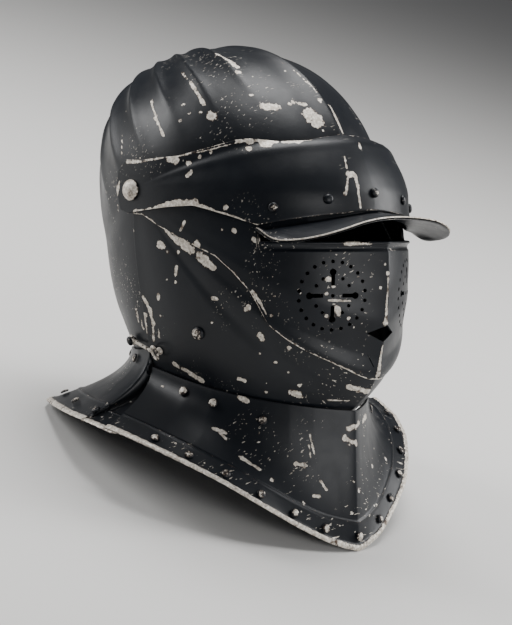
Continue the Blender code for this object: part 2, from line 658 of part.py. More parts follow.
def build_rivets(front_rows, rear_rows, material):
    groups = {"front": [], "rear": [], "brow": [], "chin": []}
    ahead = lambda a, b: collar_place(front_rows, a, b)
    behind = lambda a, b: collar_place(rear_rows, a, b)
    for s in (-7, -6, -5, -4, -3, -2, 0, 2, 3, 4, 5, 6, 7):
        groups["front"].append(rivet("rim_rivet_%d" % (s + 8), ahead(s, 0.90),
                                     normal_at(ahead, s, 0.90), RIM_RIVET_HEAD, 0.0016, material, 8))
    for s in (-7.1, -5.9, -4, 4, 5.9, 7.1):
        groups["front"].append(rivet("neck_rivet_%d" % round(2 * s + 15), ahead(s, 0.2),
                                     normal_at(ahead, s, 0.2), RIM_RIVET_HEAD, 0.0016, material, 8))
    for s in (-7, -5.5, -4, -2, 0, 2, 4, 5.5, 7):
        groups["rear"].append(rivet("back_rim_rivet_%d" % (2 * s + 15), behind(s, 0.88),
                                    normal_at(behind, s, 0.88), RIM_RIVET_HEAD, 0.0016, material, 8))
    for s in (-6, -3, 0, 3, 6):
        groups["rear"].append(rivet("back_neck_rivet_%d" % (s + 7), behind(s, 0.14),
                                    normal_at(behind, s, 0.14), RIM_RIVET_HEAD, 0.0016, material, 8))
    for number, (fwd, up, hand) in enumerate(((1.239, -0.022, 1), (1.168, -0.065, 1), (1.168, -0.065, -1),
                                              (0.970, -0.118, 1), (0.970, -0.118, -1)), 1):
        spot, out = on_plate(BROW, 0.03, 0.0, fwd, up, hand)
        if number == 1:
            spot.x, out.x = 0.0, 0.0
        groups["brow"].append(rivet("brow_rivet_%d" % number, spot, out, RIVET_HEAD, 0.0022, material))
    for hand, side in ((-1, "right"), (1, "left")):
        spot, out = on_plate(CHIN, KEEL_SLOPE, 2 * LAYER, 0.45, -0.93, hand)
        groups["chin"].append(rivet("chin_rivet_" + side, spot, out, RIVET_HEAD, 0.0022, material))
    return groups


def hook_place():
    return on_plate(SKULL, 0.0, 3 * LAYER, HOOK_FWD, HOOK_UP, -1)


def hook_frame():
    at, out = hook_place()
    stud, away = stud_place()
    along = stud - at
    along = (along - out * along.dot(out)).normalized()
    return at, out, along, out.cross(along)


def stud_place():
    return on_plate(CHIN, KEEL_SLOPE, 2 * LAYER, STUD_FWD, STUD_UP, -1)


def build_hook(material):
    at, out, along, side = hook_frame()
    stud, away = stud_place()
    length = (stud - at).dot(along)
    half, boss, ring = HOOK_BAR / 2, HOOK_BAR * 1.3, HOOK_BAR * 1.75
    outline = []
    for step in range(9):
        a = radians(40 + 35 * step)
        outline.append((boss * cos(a), boss * sin(a)))
    for step in range(11):
        a = radians(-155 + 31 * step)
        outline.append((length + ring * cos(a), ring * sin(a)))
    count = len(outline)
    low, high = HOOK_LIFT, HOOK_LIFT + HOOK_BAR * 0.8
    points = [out * h + along * u + side * v for h in (low, high) for u, v in outline]
    faces = [tuple(reversed(range(count))), tuple(range(count, 2 * count))]
    faces += [(i, (i + 1) % count, (i + 1) % count + count, i + count) for i in range(count)]
    hook = make("hook", points, faces, material)
    hook.location = at
    for name, spot, radius in (("hook_pin_cutter", at, HOOK_PIN + GAP),
                               ("hook_eye_cutter", at + along * length, ring * 0.60)):
        bore = turned(name, [(radius, -3 * HOOK_BAR), (radius, 6 * HOOK_BAR)], spot, out, 16, None)
        cut(hook, cutter(bore))
    r = RIVET_HEAD
    start, top = GAP, high + GAP
    profile = [(HOOK_PIN, start), (HOOK_PIN, top), (r, top), (r * 0.86, top + r * 0.35),
               (r * 0.45, top + r * 0.6), (0.0, top + r * 0.66)]
    pin = turned("hook_rivet", profile, at, out, 12, material)
    post = rivet("stud", stud, away, HOOK_BAR * 0.85, HOOK_BAR * 0.9375, material, 12)
    return hook, pin, post


def anchor(name, at, kind="PLAIN_AXES"):
    empty = bpy.data.objects.new(name, None)
    empty.empty_display_type = kind
    empty.empty_display_size = 0.02
    empty.location = at
    bpy.context.collection.objects.link(empty)
    return empty


def main():
    clear_scene()
    black = metal("black_painted_steel", (0.018, 0.020, 0.024), 0.42)
    bare = metal("worn_steel", (0.36, 0.34, 0.31), 0.38)
    skull = build_skull(black)
    finial = build_finial(black)
    brow = build_brow(black)
    peak = build_peak(black)
    face = build_face(black)
    chin = build_chin(black)
    chin_edge, skull_edge = [min(row["up"] for row in side) for side in (CHIN_SIDE, SKULL_SIDE)]
    front_rows = seat_rows(GORGET_FRONT, CHIN, KEEL_SLOPE, 2 * LAYER, chin_edge)
    rear_rows = seat_rows(GORGET_REAR, SKULL, 0.0, 3 * LAYER, skull_edge)
    front = collar("gorget_front", front_rows, black)
    rear = collar("gorget_rear", rear_rows, black)
    bolts = build_pivot_bolts(bare)
    rivets = build_rivets(front_rows, rear_rows, black)
    hook, pin, stud = build_hook(black)
    pieces = [skull, finial, brow, peak, face, chin, front, rear, hook, pin, stud] + bolts
    for group in rivets.values():
        pieces += group
    rest = anchor("rest", (0, 0, 0))
    for item in list(bpy.data.objects):
        if item is not rest:
            item.parent = rest
    tilt = rest_tilt()
    for i in range(4):
        turn = Matrix.Rotation(tilt, 3, "X")
        tip, heel = [min((turn @ v.co for v in item.data.vertices), key=lambda p: p.z)
                     for item in (front, rear)]
        tilt -= atan2(heel.z - tip.z, heel.y - tip.y)
    rest.rotation_euler = (tilt, 0, 0)
    bpy.context.view_layer.update()
    spots = [item.matrix_world @ v.co for item in (front, rear) for v in item.data.vertices]
    lowest = min(p.z for p in spots)
    tool = floor_cutter(lowest + FLAT_DEPTH, tilt)
    cut(front, tool)
    cut(rear, tool)
    tool.parent = rest
    ys = [(item.matrix_world @ v.co).y for item in pieces for v in item.data.vertices
          if item in (front, rear, peak, finial) or (item is skull and v.co.z > 0)]
    rest.location = (0, -(min(ys) + max(ys)) / 2, -(lowest + FLAT_DEPTH))


main()
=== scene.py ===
import bpy
import json
import numpy as np
from math import radians, sin, cos, pi
from mathutils import Vector, Matrix, kdtree


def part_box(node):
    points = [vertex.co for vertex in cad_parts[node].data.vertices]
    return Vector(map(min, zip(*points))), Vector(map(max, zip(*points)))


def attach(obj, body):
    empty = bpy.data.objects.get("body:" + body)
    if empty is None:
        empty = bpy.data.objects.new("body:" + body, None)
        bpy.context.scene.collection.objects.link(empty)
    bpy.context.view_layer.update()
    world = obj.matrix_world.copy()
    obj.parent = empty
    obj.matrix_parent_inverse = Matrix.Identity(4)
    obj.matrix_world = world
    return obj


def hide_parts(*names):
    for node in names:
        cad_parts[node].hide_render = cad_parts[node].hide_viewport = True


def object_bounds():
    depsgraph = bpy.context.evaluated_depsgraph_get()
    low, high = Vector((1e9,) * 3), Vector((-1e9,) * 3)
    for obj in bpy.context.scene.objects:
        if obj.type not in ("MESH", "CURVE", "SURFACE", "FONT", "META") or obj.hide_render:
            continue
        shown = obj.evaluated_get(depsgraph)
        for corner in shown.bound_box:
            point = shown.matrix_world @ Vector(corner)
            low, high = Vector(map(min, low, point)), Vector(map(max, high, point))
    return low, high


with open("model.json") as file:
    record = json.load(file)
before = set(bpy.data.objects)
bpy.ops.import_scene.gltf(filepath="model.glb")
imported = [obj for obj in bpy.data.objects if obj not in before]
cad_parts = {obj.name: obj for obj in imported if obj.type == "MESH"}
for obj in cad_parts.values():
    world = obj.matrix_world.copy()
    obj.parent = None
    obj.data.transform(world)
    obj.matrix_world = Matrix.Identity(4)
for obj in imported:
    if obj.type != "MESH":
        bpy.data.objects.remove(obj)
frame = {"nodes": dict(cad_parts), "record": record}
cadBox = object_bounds()
fine = 1.0
print("frame loaded, detail", fine)

# The plates are drawn level, with the pivot line through zero, then leaned onto the gorget's rim
helmet = {"halfWidth": 0.1026, "plate": 0.0018, "layer": 0.0022, "lean": 21.248,
          "pivot": (0.0, 0.043892, 0.185498)}
width = helmet["halfWidth"]
leanCos, leanSin = cos(radians(helmet["lean"])), sin(radians(helmet["lean"]))


def toRest(points):
    p = np.asarray(points, float)
    out = np.empty_like(p)
    out[..., 0] = p[..., 0] + helmet["pivot"][0]
    out[..., 1] = leanCos * p[..., 1] + leanSin * p[..., 2] + helmet["pivot"][1]
    out[..., 2] = -leanSin * p[..., 1] + leanCos * p[..., 2] + helmet["pivot"][2]
    return out


# small helpers for the work on meshes
def deselect():
    bpy.ops.object.select_all(action="DESELECT")


def only(obj):
    deselect()
    obj.select_set(True)
    bpy.context.view_layer.objects.active = obj


def modifier(obj, kind, **settings):
    only(obj)
    step = obj.modifiers.new(kind.lower(), kind)
    for key, value in settings.items():
        setattr(step, key, value)
    bpy.ops.object.modifier_apply(modifier=step.name)


def mergeDoubles(obj, distance=0.00002):
    only(obj)
    bpy.ops.object.mode_set(mode="EDIT")
    bpy.ops.mesh.select_all(action="SELECT")
    bpy.ops.mesh.remove_doubles(threshold=distance)
    bpy.ops.mesh.normals_make_consistent(inside=False)
    bpy.ops.object.mode_set(mode="OBJECT")


def settle(obj):  # place goes into the mesh
    only(obj)
    bpy.ops.object.transform_apply(location=True, rotation=True, scale=True)


def joinPieces(pieces):
    deselect()
    for piece in pieces:
        piece.select_set(True)
    bpy.context.view_layer.objects.active = pieces[0]
    bpy.ops.object.join()
    whole = bpy.context.object
    settle(whole)
    return whole


def coords(obj):
    out = np.empty(len(obj.data.vertices) * 3)
    obj.data.vertices.foreach_get("co", out)
    return out.reshape(-1, 3)


def setCoords(obj, points):
    obj.data.vertices.foreach_set("co", np.asarray(points, float).ravel())
    obj.data.update()


def normals(obj):
    out = np.empty(len(obj.data.vertices) * 3)
    obj.data.vertices.foreach_get("normal", out)
    return out.reshape(-1, 3)


def gridSheet(name, points):  # a grid primitive pulled onto rows x columns of points
    rows, cols = points.shape[:2]
    deselect()
    bpy.ops.mesh.primitive_grid_add(x_subdivisions=cols - 1, y_subdivisions=rows - 1, size=2)
    sheet = bpy.context.object
    sheet.name = name
    flat = coords(sheet)
    col = np.rint((flat[:, 0] + 1) / 2 * (cols - 1)).astype(int)
    row = np.rint((flat[:, 1] + 1) / 2 * (rows - 1)).astype(int)
    setCoords(sheet, points[row, col])
    return sheet


def gridNormals(points):
    out = np.cross(np.gradient(points, axis=0), np.gradient(points, axis=1))
    return out / (np.linalg.norm(out, axis=-1, keepdims=True) + 1e-12)


def faceOut(obj, middle):  # a sheet's faces look away from the middle
    mesh = obj.data
    mesh.update()
    centres = np.empty(len(mesh.polygons) * 3)
    mesh.polygons.foreach_get("center", centres)
    facing = np.empty(len(mesh.polygons) * 3)
    mesh.polygons.foreach_get("normal", facing)
    away = centres.reshape(-1, 3) - np.array(middle)
    if (away * facing.reshape(-1, 3)).sum() < 0:
        mesh.flip_normals()


def thicken(obj, thickness, bevel=0.00035):
    modifier(obj, "SOLIDIFY", thickness=thickness, offset=-1.0, use_even_offset=False)
    if bevel:
        modifier(obj, "BEVEL", width=bevel, segments=2, limit_method="ANGLE", angle_limit=radians(50))


def smoothShade(obj, angle=38):
    only(obj)
    bpy.ops.object.shade_smooth_by_angle(angle=radians(angle))


def wavy(points, size, seed=0.0):  # soft noise for hammered unevenness
    x, y, z = (points / size).T
    total = (np.sin(1.7 * x + 1.3 * np.sin(0.9 * y + seed) + seed)
             + np.sin(1.9 * y + 1.1 * np.sin(1.2 * z + 2.0 * seed))
             + np.sin(1.6 * z + 1.4 * np.sin(1.1 * x + 0.7 + seed)))
    return total / 3


# the plates' sections: angle above straight ahead, reach and fullness, in half-widths
plates = {
    "skull": {"keel": 0.0, "inset": 3, "rows": [
        (-60, 1.618, 2.05), (-30, 1.267, 2.00), (0, 1.010, 2.00), (20, 0.985, 2.05), (43, 0.955, 2.10),
        (57, 0.951, 2.10), (66, 0.955, 2.10), (81, 0.965, 2.10), (98, 1.005, 2.10), (131, 1.095, 2.10),
        (155, 1.010, 2.10), (180, 0.985, 2.00), (205, 1.030, 2.00), (237, 1.310, 2.08), (270, 1.700, 2.15)]},
    "brow": {"keel": 0.03, "inset": 0, "rows": [
        (-30, 1.462, 2.20), (-14, 1.296, 2.20), (-6, 1.252, 2.15), (-1, 1.238, 2.15), (3, 1.212, 2.15),
        (13, 1.140, 2.10), (16, 1.121, 2.10), (21, 1.055, 2.10), (40, 1.050, 2.10), (90, 1.250, 2.00),
        (180, 1.700, 2.00), (270, 1.700, 2.00)]},
    "face": {"keel": 0.30, "inset": 1, "rows": [
        (-90, 1.830, 2.0), (-44, 1.776, 2.0), (-40, 1.696, 2.0), (-36, 1.642, 2.0), (-32, 1.598, 2.0),
        (-29, 1.555, 2.0), (-25, 1.511, 2.0), (-19, 1.447, 2.0), (-14, 1.400, 2.0), (0, 1.190, 2.0),
        (20, 1.140, 2.0), (90, 1.200, 2.0), (180, 1.560, 2.0), (225, 1.740, 2.0)]},
    "chin": {"keel": 0.30, "inset": 2, "rows": [
        (-125, 1.800, 2.20), (-90, 1.820, 2.22), (-72, 1.820, 2.35), (-54, 1.788, 2.12), (-49, 1.784, 2.00),
        (-44, 1.749, 2.00), (-40, 1.669, 2.00), (-36, 1.615, 2.00), (-32, 1.570, 2.00), (-28, 1.515, 2.00),
        (-14, 1.340, 2.00), (0, 1.120, 2.00), (20, 1.100, 2.00), (90, 1.130, 2.00), (180, 1.462, 2.00)]},
}
edges = {  # outlines seen from the side: forward and up, in half-widths
    "skull": [(-2.0, -1.160), (0.097, -1.160), (0.097, -0.150), (0.32, 0.010), (2.0, 0.080), (2.0, 2.0),
              (-2.0, 2.0)],
    "brow": [(-0.156, 0.0), (-0.125, -0.125), (-0.04, -0.154), (0.013, -0.144), (0.319, -0.113),
             (0.512, -0.104), (0.600, -0.125), (0.757, -0.173), (0.903, -0.229), (1.213, -0.153),
             (1.250, -0.130), (1.6, -0.12), (1.6, 0.50), (1.006, 0.372), (0.982, 0.316), (0.877, 0.307),
             (0.745, 0.325), (0.689, 0.316), (0.564, 0.270), (0.374, 0.217), (0.236, 0.208),
             (0.078, 0.195), (-0.070, 0.202), (-0.146, 0.132)],
    "face": [(-0.150, 0.0), (-0.108, -0.108), (0.0, -0.157), (0.078, -0.161), (0.225, -0.236),
             (0.458, -0.343), (0.637, -0.427), (0.734, -0.521), (0.829, -0.647), (0.919, -0.868),
             (1.002, -0.968), (1.049, -1.012), (1.154, -1.099), (1.210, -1.159), (1.253, -1.228),
             (1.9, -1.300), (1.9, -0.334), (0.897, -0.334), (0.877, -0.229), (0.830, -0.060),
             (0.585, 0.039), (0.292, 0.097), (0.097, 0.136), (0.0, 0.150), (-0.108, 0.108)],
    "chin": [(-0.135, 0.0), (-0.100, -0.095), (-0.039, -0.150), (-0.034, -0.409), (-0.029, -0.575),
             (-0.019, -0.741), (-0.039, -0.999), (-0.058, -1.241), (0.312, -1.335), (0.400, -1.380),
             (0.80, -1.490), (1.9, -1.510), (1.9, -1.05), (1.17, -0.965), (1.03, -0.80), (0.93, -0.62),
             (0.78, -0.38), (0.585, -0.22), (0.312, -0.03), (0.127, 0.09), (0.0, 0.135), (-0.095, 0.095)],
}


def share(rows, column, angles):  # smooth closed curve through the table
    first = rows[0][0]
    knots = np.array([r[0] for r in rows] + [first + 360.0])
    values = np.array([r[column] for r in rows] + [rows[0][column]])
    step = np.diff(knots)
    rise = np.diff(values) / step
    before, after = np.roll(rise, 1), rise
    product = before * after
    slopes = np.where(product > 0, 2 * product / np.where(before + after == 0, 1, before + after), 0.0)
    slopes = np.append(slopes, slopes[0])
    a = (np.asarray(angles, float) - first) % 360.0 + first
    i = np.clip(np.searchsorted(knots, a, side="right") - 1, 0, len(step) - 1)
    t = (a - knots[i]) / step[i]
    return (values[i] * (1 + 2 * t) * (1 - t) ** 2 + slopes[i] * step[i] * t * (1 - t) ** 2
            + values[i + 1] * t * t * (3 - 2 * t) + slopes[i + 1] * step[i] * t * t * (t - 1))


def withinPlate(plate, across, fwd, up):
    spec = plates[plate]
    half = 1.0 - spec["inset"] * helmet["layer"] / width
    angle = np.degrees(np.arctan2(up, fwd))
    reach, full = share(spec["rows"], 1, angle), share(spec["rows"], 2, angle)
    x = np.minimum(np.abs(across), half)
    out = np.hypot(fwd, up) + spec["keel"] * x * (1 - x / half)
    return ((x / half) ** full + (out / reach) ** full < 1) & (np.abs(across) < half)


def onColumn(plate, azimuth, up):  # the plate's surface straight out from the upright axis
    azimuth, up = np.broadcast_arrays(azimuth, up)
    low, high = np.zeros(up.shape), np.full(up.shape, 2.4)
    for i in range(30):
        mid = (low + high) / 2
        inside = withinPlate(plate, mid * np.sin(azimuth), mid * np.cos(azimuth), up)
        low, high = np.where(inside, mid, low), np.where(inside, high, mid)
    return low * np.sin(azimuth), low * np.cos(azimuth)


def withinEdge(outline, fwd, up):
    inside = np.zeros(np.shape(fwd), bool)
    for (f1, u1), (f2, u2) in zip(outline, outline[1:] + outline[:1]):
        if u1 == u2:
            continue
        crosses = (up < u1) != (up < u2)
        inside ^= crosses & (fwd < f1 + (up - u1) * (f2 - f1) / (u2 - u1))
    return inside


backSpan = {"brow": (-0.150, 0.198), "face": (-0.155, 0.145), "chin": (-1.238, 0.130)}


def backLine(plate, lowest, highest):  # azimuth of the plate's back edge at each height
    outline = edges[plate]
    ups = np.linspace(lowest, highest, 400)
    held = np.clip(ups, *backSpan[plate])
    backs = []
    for u in held:
        crossings = [f1 + (u - u1) * (f2 - f1) / (u2 - u1)
                     for (f1, u1), (f2, u2) in zip(outline, outline[1:] + outline[:1])
                     if (u1 < u) != (u2 < u)]
        backs.append(min(crossings))
    backs = np.array(backs)
    front, behind = np.full(len(ups), radians(40)), np.full(len(ups), radians(125))
    for i in range(26):
        mid = (front + behind) / 2
        ahead = onColumn(plate, mid, held)[1] > backs
        front, behind = np.where(ahead, mid, front), np.where(ahead, behind, mid)
    return ups, front


def turned(shares, heights, ups, backs):  # only the columns next to the back edge bend with it
    most = backs.max()
    return shares * (most - (most - np.interp(heights, ups, backs)) * np.abs(shares) ** 6) * 0.9995


def columnEnds(plate, shares, ups, backs):  # where each column meets the outline
    outline = edges[plate]
    fwd = onColumn(plate, turned(shares[:, None], ups[None, :], ups, backs), ups[None, :])[1]
    inside = withinEdge(outline, fwd, ups[None, :])
    first = np.array([np.argmax(row) for row in inside])
    last = np.array([len(row) - 1 - np.argmax(row[::-1]) for row in inside])
    found = []
    for inner, outer in ((first, first - 1), (last, last + 1)):
        a = ups[inner]
        b = ups[np.clip(outer, 0, len(ups) - 1)]
        for i in range(18):
            mid = (a + b) / 2
            ok = withinEdge(outline, onColumn(plate, turned(shares, mid, ups, backs), mid)[1], mid)
            a, b = np.where(ok, mid, a), np.where(ok, b, mid)
        found.append(a)
    return found


def plateSheet(name, plate, lowest, highest, cols, rowDepths, rowsBelow, relief):
    half = np.linspace(0, 1, int(cols * fine / 2) + 1)
    half = 0.72 * half + 0.28 * half ** 2
    shares = np.concatenate([-half[:0:-1], half])
    levels, backs = backLine(plate, lowest, highest)
    bottom, top = columnEnds(plate, shares, levels, backs)
    depths = np.array(rowDepths) / (1000 * width)  # set distances under the top edge, then even rows
    spread = np.linspace(0, 1, int(rowsBelow * fine) + 1)
    down = []
    for k in range(len(shares)):
        tall = top[k] - bottom[k]
        near = depths * min(1.0, tall / (depths[-1] * 1.6)) if len(depths) > 1 else np.zeros(1)
        down.append(np.concatenate([near[:-1], near[-1] + (tall - near[-1]) * spread]))
    down = np.array(down).T
    ups = top[None, :] - down
    across, fwd = onColumn(plate, turned(shares[None, :], ups, levels, backs), ups)
    points = np.stack([across, -fwd, ups], -1) * width
    out = gridNormals(points)
    out *= np.where((out * points * [1, 1, 0]).sum(-1, keepdims=True) < 0, -1, 1)
    if relief is not None:
        points = points + out * relief(points, down * width, fwd)[..., None]
    sheet = gridSheet(name, points[::-1])
    faceOut(sheet, (0, 0, points[..., 2].mean()))
    return sheet, points


# steel under worn black paint
paint = {"colour": (0.0030, 0.0044, 0.0072), "dusty": (0.0060, 0.0080, 0.0115), "roughness": 0.31,
         "bare": (0.80, 0.755, 0.68), "bareDark": (0.46, 0.41, 0.345), "rust": (0.060, 0.034, 0.020)}


def makePaint(name, chipSize, speckle, seed, scratches=1.0):
    material = bpy.data.materials.new(name)
    material.use_nodes = True
    tree = material.node_tree
    nodes, links = tree.nodes, tree.links
    shader = nodes["Principled BSDF"]
    place = nodes.new("ShaderNodeTexCoord").outputs["Object"]

    def moved(scale, shift):
        node = nodes.new("ShaderNodeMapping")
        node.inputs["Scale"].default_value = scale
        node.inputs["Location"].default_value = shift
        links.new(place, node.inputs["Vector"])
        return node.outputs["Vector"]

    def noise(scale, detail=4.0, rough=0.6, vector=None, shift=0.0):
        node = nodes.new("ShaderNodeTexNoise")
        node.inputs["Scale"].default_value = scale
        node.inputs["Detail"].default_value = detail
        node.inputs["Roughness"].default_value = rough
        links.new(vector or moved((1, 1, 1), (shift, seed, shift)), node.inputs["Vector"])
        return node.outputs["Fac"]

    def math(kind, a, b=None, clamp=False):
        node = nodes.new("ShaderNodeMath")
        node.operation = kind
        node.use_clamp = clamp
        for socket, value in zip(node.inputs, (a, b)):
            if value is None:
                continue
            if isinstance(value, (int, float)):
                socket.default_value = value
            else:
                links.new(value, socket)
        return node.outputs[0]

    def band(value, low, high):
        node = nodes.new("ShaderNodeMapRange")
        node.interpolation_type = "SMOOTHSTEP"
        node.inputs["From Min"].default_value = low
        node.inputs["From Max"].default_value = high
        links.new(value, node.inputs["Value"])
        return node.outputs["Result"]

    def mix(mask, a, b):
        node = nodes.new("ShaderNodeMix")
        node.data_type = "RGBA"
        links.new(mask, node.inputs["Factor"])
        for key, value in ((6, a), (7, b)):
            if isinstance(value, tuple):
                node.inputs[key].default_value = (*value, 1)
            else:
                links.new(value, node.inputs[key])
        return node.outputs[2]

    wear = nodes.new("ShaderNodeAttribute")
    wear.attribute_name = "wear"
    worn = wear.outputs["Fac"]
    ragged = noise(chipSize, 5.0, 0.62, shift=0.31)
    broad = noise(38, 3.0, 0.5, shift=0.9)
    # paint is gone where the wear of the place and the ragged noise add up
    lobes = noise(170, 2.0, 0.5, shift=1.4)
    chipField = worn
    for field, amount in ((ragged, 0.85), (lobes, 0.80), (broad, 0.25)):
        chipField = math("ADD", chipField, math("MULTIPLY", math("SUBTRACT", field, 0.5), amount))
    chips = band(chipField, 0.545, 0.57)
    thin = band(chipField, 0.42, 0.56)
    # specks knocked off by small blows
    cells = nodes.new("ShaderNodeTexVoronoi")
    cells.inputs["Scale"].default_value = 330
    links.new(moved((1, 1, 1), (seed, 0.2, 0.4)), cells.inputs["Vector"])
    rare = nodes.new("ShaderNodeSeparateColor")
    links.new(cells.outputs["Color"], rare.inputs["Color"])
    chance = math("ADD", rare.outputs["Red"], math("MULTIPLY", worn, 0.22))
    chosen = math("GREATER_THAN", chance, 1.0 - speckle)
    dotSize = math("MULTIPLY", rare.outputs["Green"], 0.30)
    away = math("ADD", cells.outputs["Distance"], math("MULTIPLY", math("SUBTRACT", ragged, 0.5), 0.35))
    dots = math("MULTIPLY", chosen, math("LESS_THAN", away, dotSize))
    # long fine scratches in patches
    lines = noise(1.0, 2.0, 0.5, vector=moved((60, 900, 520), (seed, 3.0, 1.0)))
    linePatch = band(noise(24, 2.0, 0.5, shift=2.2), 0.50, 0.62)
    scratch = math("MULTIPLY", math("MULTIPLY", band(lines, 0.665, 0.69), linePatch), 0.75 * scratches)
    gone = math("MAXIMUM", math("MAXIMUM", chips, dots), scratch, clamp=True)

    colour = mix(band(noise(16, 3.0, 0.55, shift=5.0), 0.35, 0.7), paint["colour"], paint["dusty"])
    metalTone = mix(band(noise(520, 3.0, 0.6, shift=4.0), 0.36, 0.66), paint["bareDark"], paint["bare"])
    metalTone = mix(band(noise(160, 3.0, 0.6, shift=7.0), 0.56, 0.74), metalTone, paint["rust"])
    colour = mix(math("MULTIPLY", thin, 0.75), colour, paint["rust"])
    links.new(mix(gone, colour, metalTone), shader.inputs["Base Color"])
    links.new(math("MULTIPLY", gone, 0.30), shader.inputs["Metallic"])
    rough = math("ADD", paint["roughness"], math("MULTIPLY", noise(95, 4.0, 0.6, shift=6.0), 0.16))
    links.new(math("ADD", rough, math("MULTIPLY", gone, 0.12)), shader.inputs["Roughness"])
    shader.inputs["Specular IOR Level"].default_value = 0.30
    height = math("ADD", math("MULTIPLY", noise(130, 3.0, 0.5, shift=8.0), 0.45),
                  math("MULTIPLY", noise(900, 2.0, 0.5, shift=9.0), 0.10))
    height = math("SUBTRACT", height, math("MULTIPLY", gone, 0.30))
    bump = nodes.new("ShaderNodeBump")
    bump.inputs["Strength"].default_value = 0.35
    bump.inputs["Distance"].default_value = 0.0006
    links.new(height, bump.inputs["Height"])
    links.new(bump.outputs["Normal"], shader.inputs["Normal"])
    return material


finishes = {"plate": makePaint("wornBlackPaint", 430, 0.003, 0.0),
            "collar": makePaint("scuffedBlackPaint", 430, 0.026, 1.7, 1.3),
            "small": makePaint("smallPartPaint", 700, 0.030, 3.1)}


def setWear(obj, values):
    layer = obj.data.attributes.new("wear", "FLOAT", "POINT")
    layer.data.foreach_set("value", values)


def wearFrom(obj, marks, *rims):
    # wear per vertex: edges lose paint first, and each mark is a place, a size and a strength
    points, facing = coords(obj), normals(obj)
    wear = np.zeros(len(points))
    for rim, reach, strength in rims:
        tree = kdtree.KDTree(len(rim))
        for i, p in enumerate(rim):
            tree.insert(p, i)
        tree.balance()
        near = np.array([tree.find(p)[2] for p in points])
        wear = np.maximum(wear, strength * np.clip(1 - near / reach, 0, 1))
    for mark in marks:
        *spot, size, strength = mark
        start = np.array(spot[:3]) / 1000
        end = np.array(spot[3:6]) / 1000 if len(spot) == 6 else start
        line = end - start
        length = line @ line
        t = np.clip((points - start) @ line / length, 0, 1) if length > 0 else np.zeros(len(points))
        away = points - (start + t[:, None] * line)
        lifted = (away * facing).sum(1)  # only the distance along the surface counts
        gap = np.sqrt(np.maximum((away ** 2).sum(1) - lifted ** 2, 0))
        outside = facing @ (start - np.array([0, 0.03, 0.15])) > 0
        near = (np.abs(lifted) < 0.007) & outside
        wear = np.maximum(wear, near * strength * np.clip(1.08 * (1 - gap * 1000 / (size * 1.9)), 0, 1))
    setWear(obj, wear)


def finish(obj, body, material, nodes, angle=38):
    smoothShade(obj, angle)
    obj.data.materials.clear()
    obj.data.materials.append(material)
    obj.data.update()
    if "wear" not in obj.data.attributes:
        setWear(obj, np.full(len(obj.data.vertices), 0.30))
    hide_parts(*nodes)
    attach(obj, body)


# skull with its ridges
skull = {"ridges": 20, "firstRidge": 28.0, "ridgeHeight": 3.6, "finialAngle": 127.0, "columns": 380,
         "rows": 118}
skullMarks = [  # x y z (and a second point for a line) in mm, size in mm, strength
    (-60, 70, 263, -64, 59, 261, 0.8, 0.8), (-65, 53, 260, -68, 42, 257, 1.1, 1.0),
    (-68, 42, 257, -71, 29, 252, 1.3, 1.0), (-71, 19, 248, 3.6, 1.0), (-79, 72, 241, -84, 58, 233, 0.9, 1.0),
    (-84, 58, 233, 1.7, 1.0), (-84, 58, 233, -88, 41, 225, 0.9, 1.0), (-81, 91, 226, -87, 83, 215, 0.6, 0.7),
    (-87, 83, 215, -93, 71, 199, 0.7, 0.75), (-37, 66, 279, -38, 51, 279, 1.1, 0.85),
    (-38, 51, 279, -39, 40, 277, 2.3, 0.95), (-42, 34, 275, 2.1, 1.0), (-76, 43, 247, 1.5, 0.9),
    (-77, 34, 244, 1.4, 0.9), (-82, 36, 238, 1.5, 0.9), (-74, 27, 247, 1.6, 0.9), (-47, 12, 265, 1.5, 0.9),
    (-45, 0, 262, -39, -3, 263, 3.0, 1.0), (-36, -4, 263, 2.0, 0.9), (-27, -5, 266, 1.9, 0.95),
    (-23, -2, 269, -24, -5, 267, 0.9, 0.9), (-20, -7, 268, -16, -9, 268, 2.0, 0.95),
    (-16, -16, 263, -14, -20, 260, 5.6, 1.0), (-4, 35, 285, -3, 12, 281, 0.8, 0.6),
    (-3, 12, 281, -1, -3, 275, 1.0, 0.72), (5, -13, 269, 3, -23, 263, 1.7, 0.95),
    (3, -23, 263, 3, -31, 257, 2.0, 1.0), (-3, -9, 272, 2.4, 0.95), (-90, 52, 205, 1.1, 0.8),
    (-82, 26, 95, -84, 28, 104, 1.6, 0.72), (-81, 20, 92, -83, 22, 99, 1.6, 0.72),
    (-92, 64, 167, -92, 62, 163, 0.9, 0.8)]


def skullReach(direction):
    angle = np.degrees(np.arctan2(direction[..., 2], -direction[..., 1]))
    half = 1.0 - 3 * helmet["layer"] / width
    reach, full = share(plates["skull"]["rows"], 1, angle), share(plates["skull"]["rows"], 2, angle)
    span = np.hypot(direction[..., 1], direction[..., 2])
    return ((np.abs(direction[..., 0]) / half) ** full + (span / reach) ** full) ** (-1 / full)


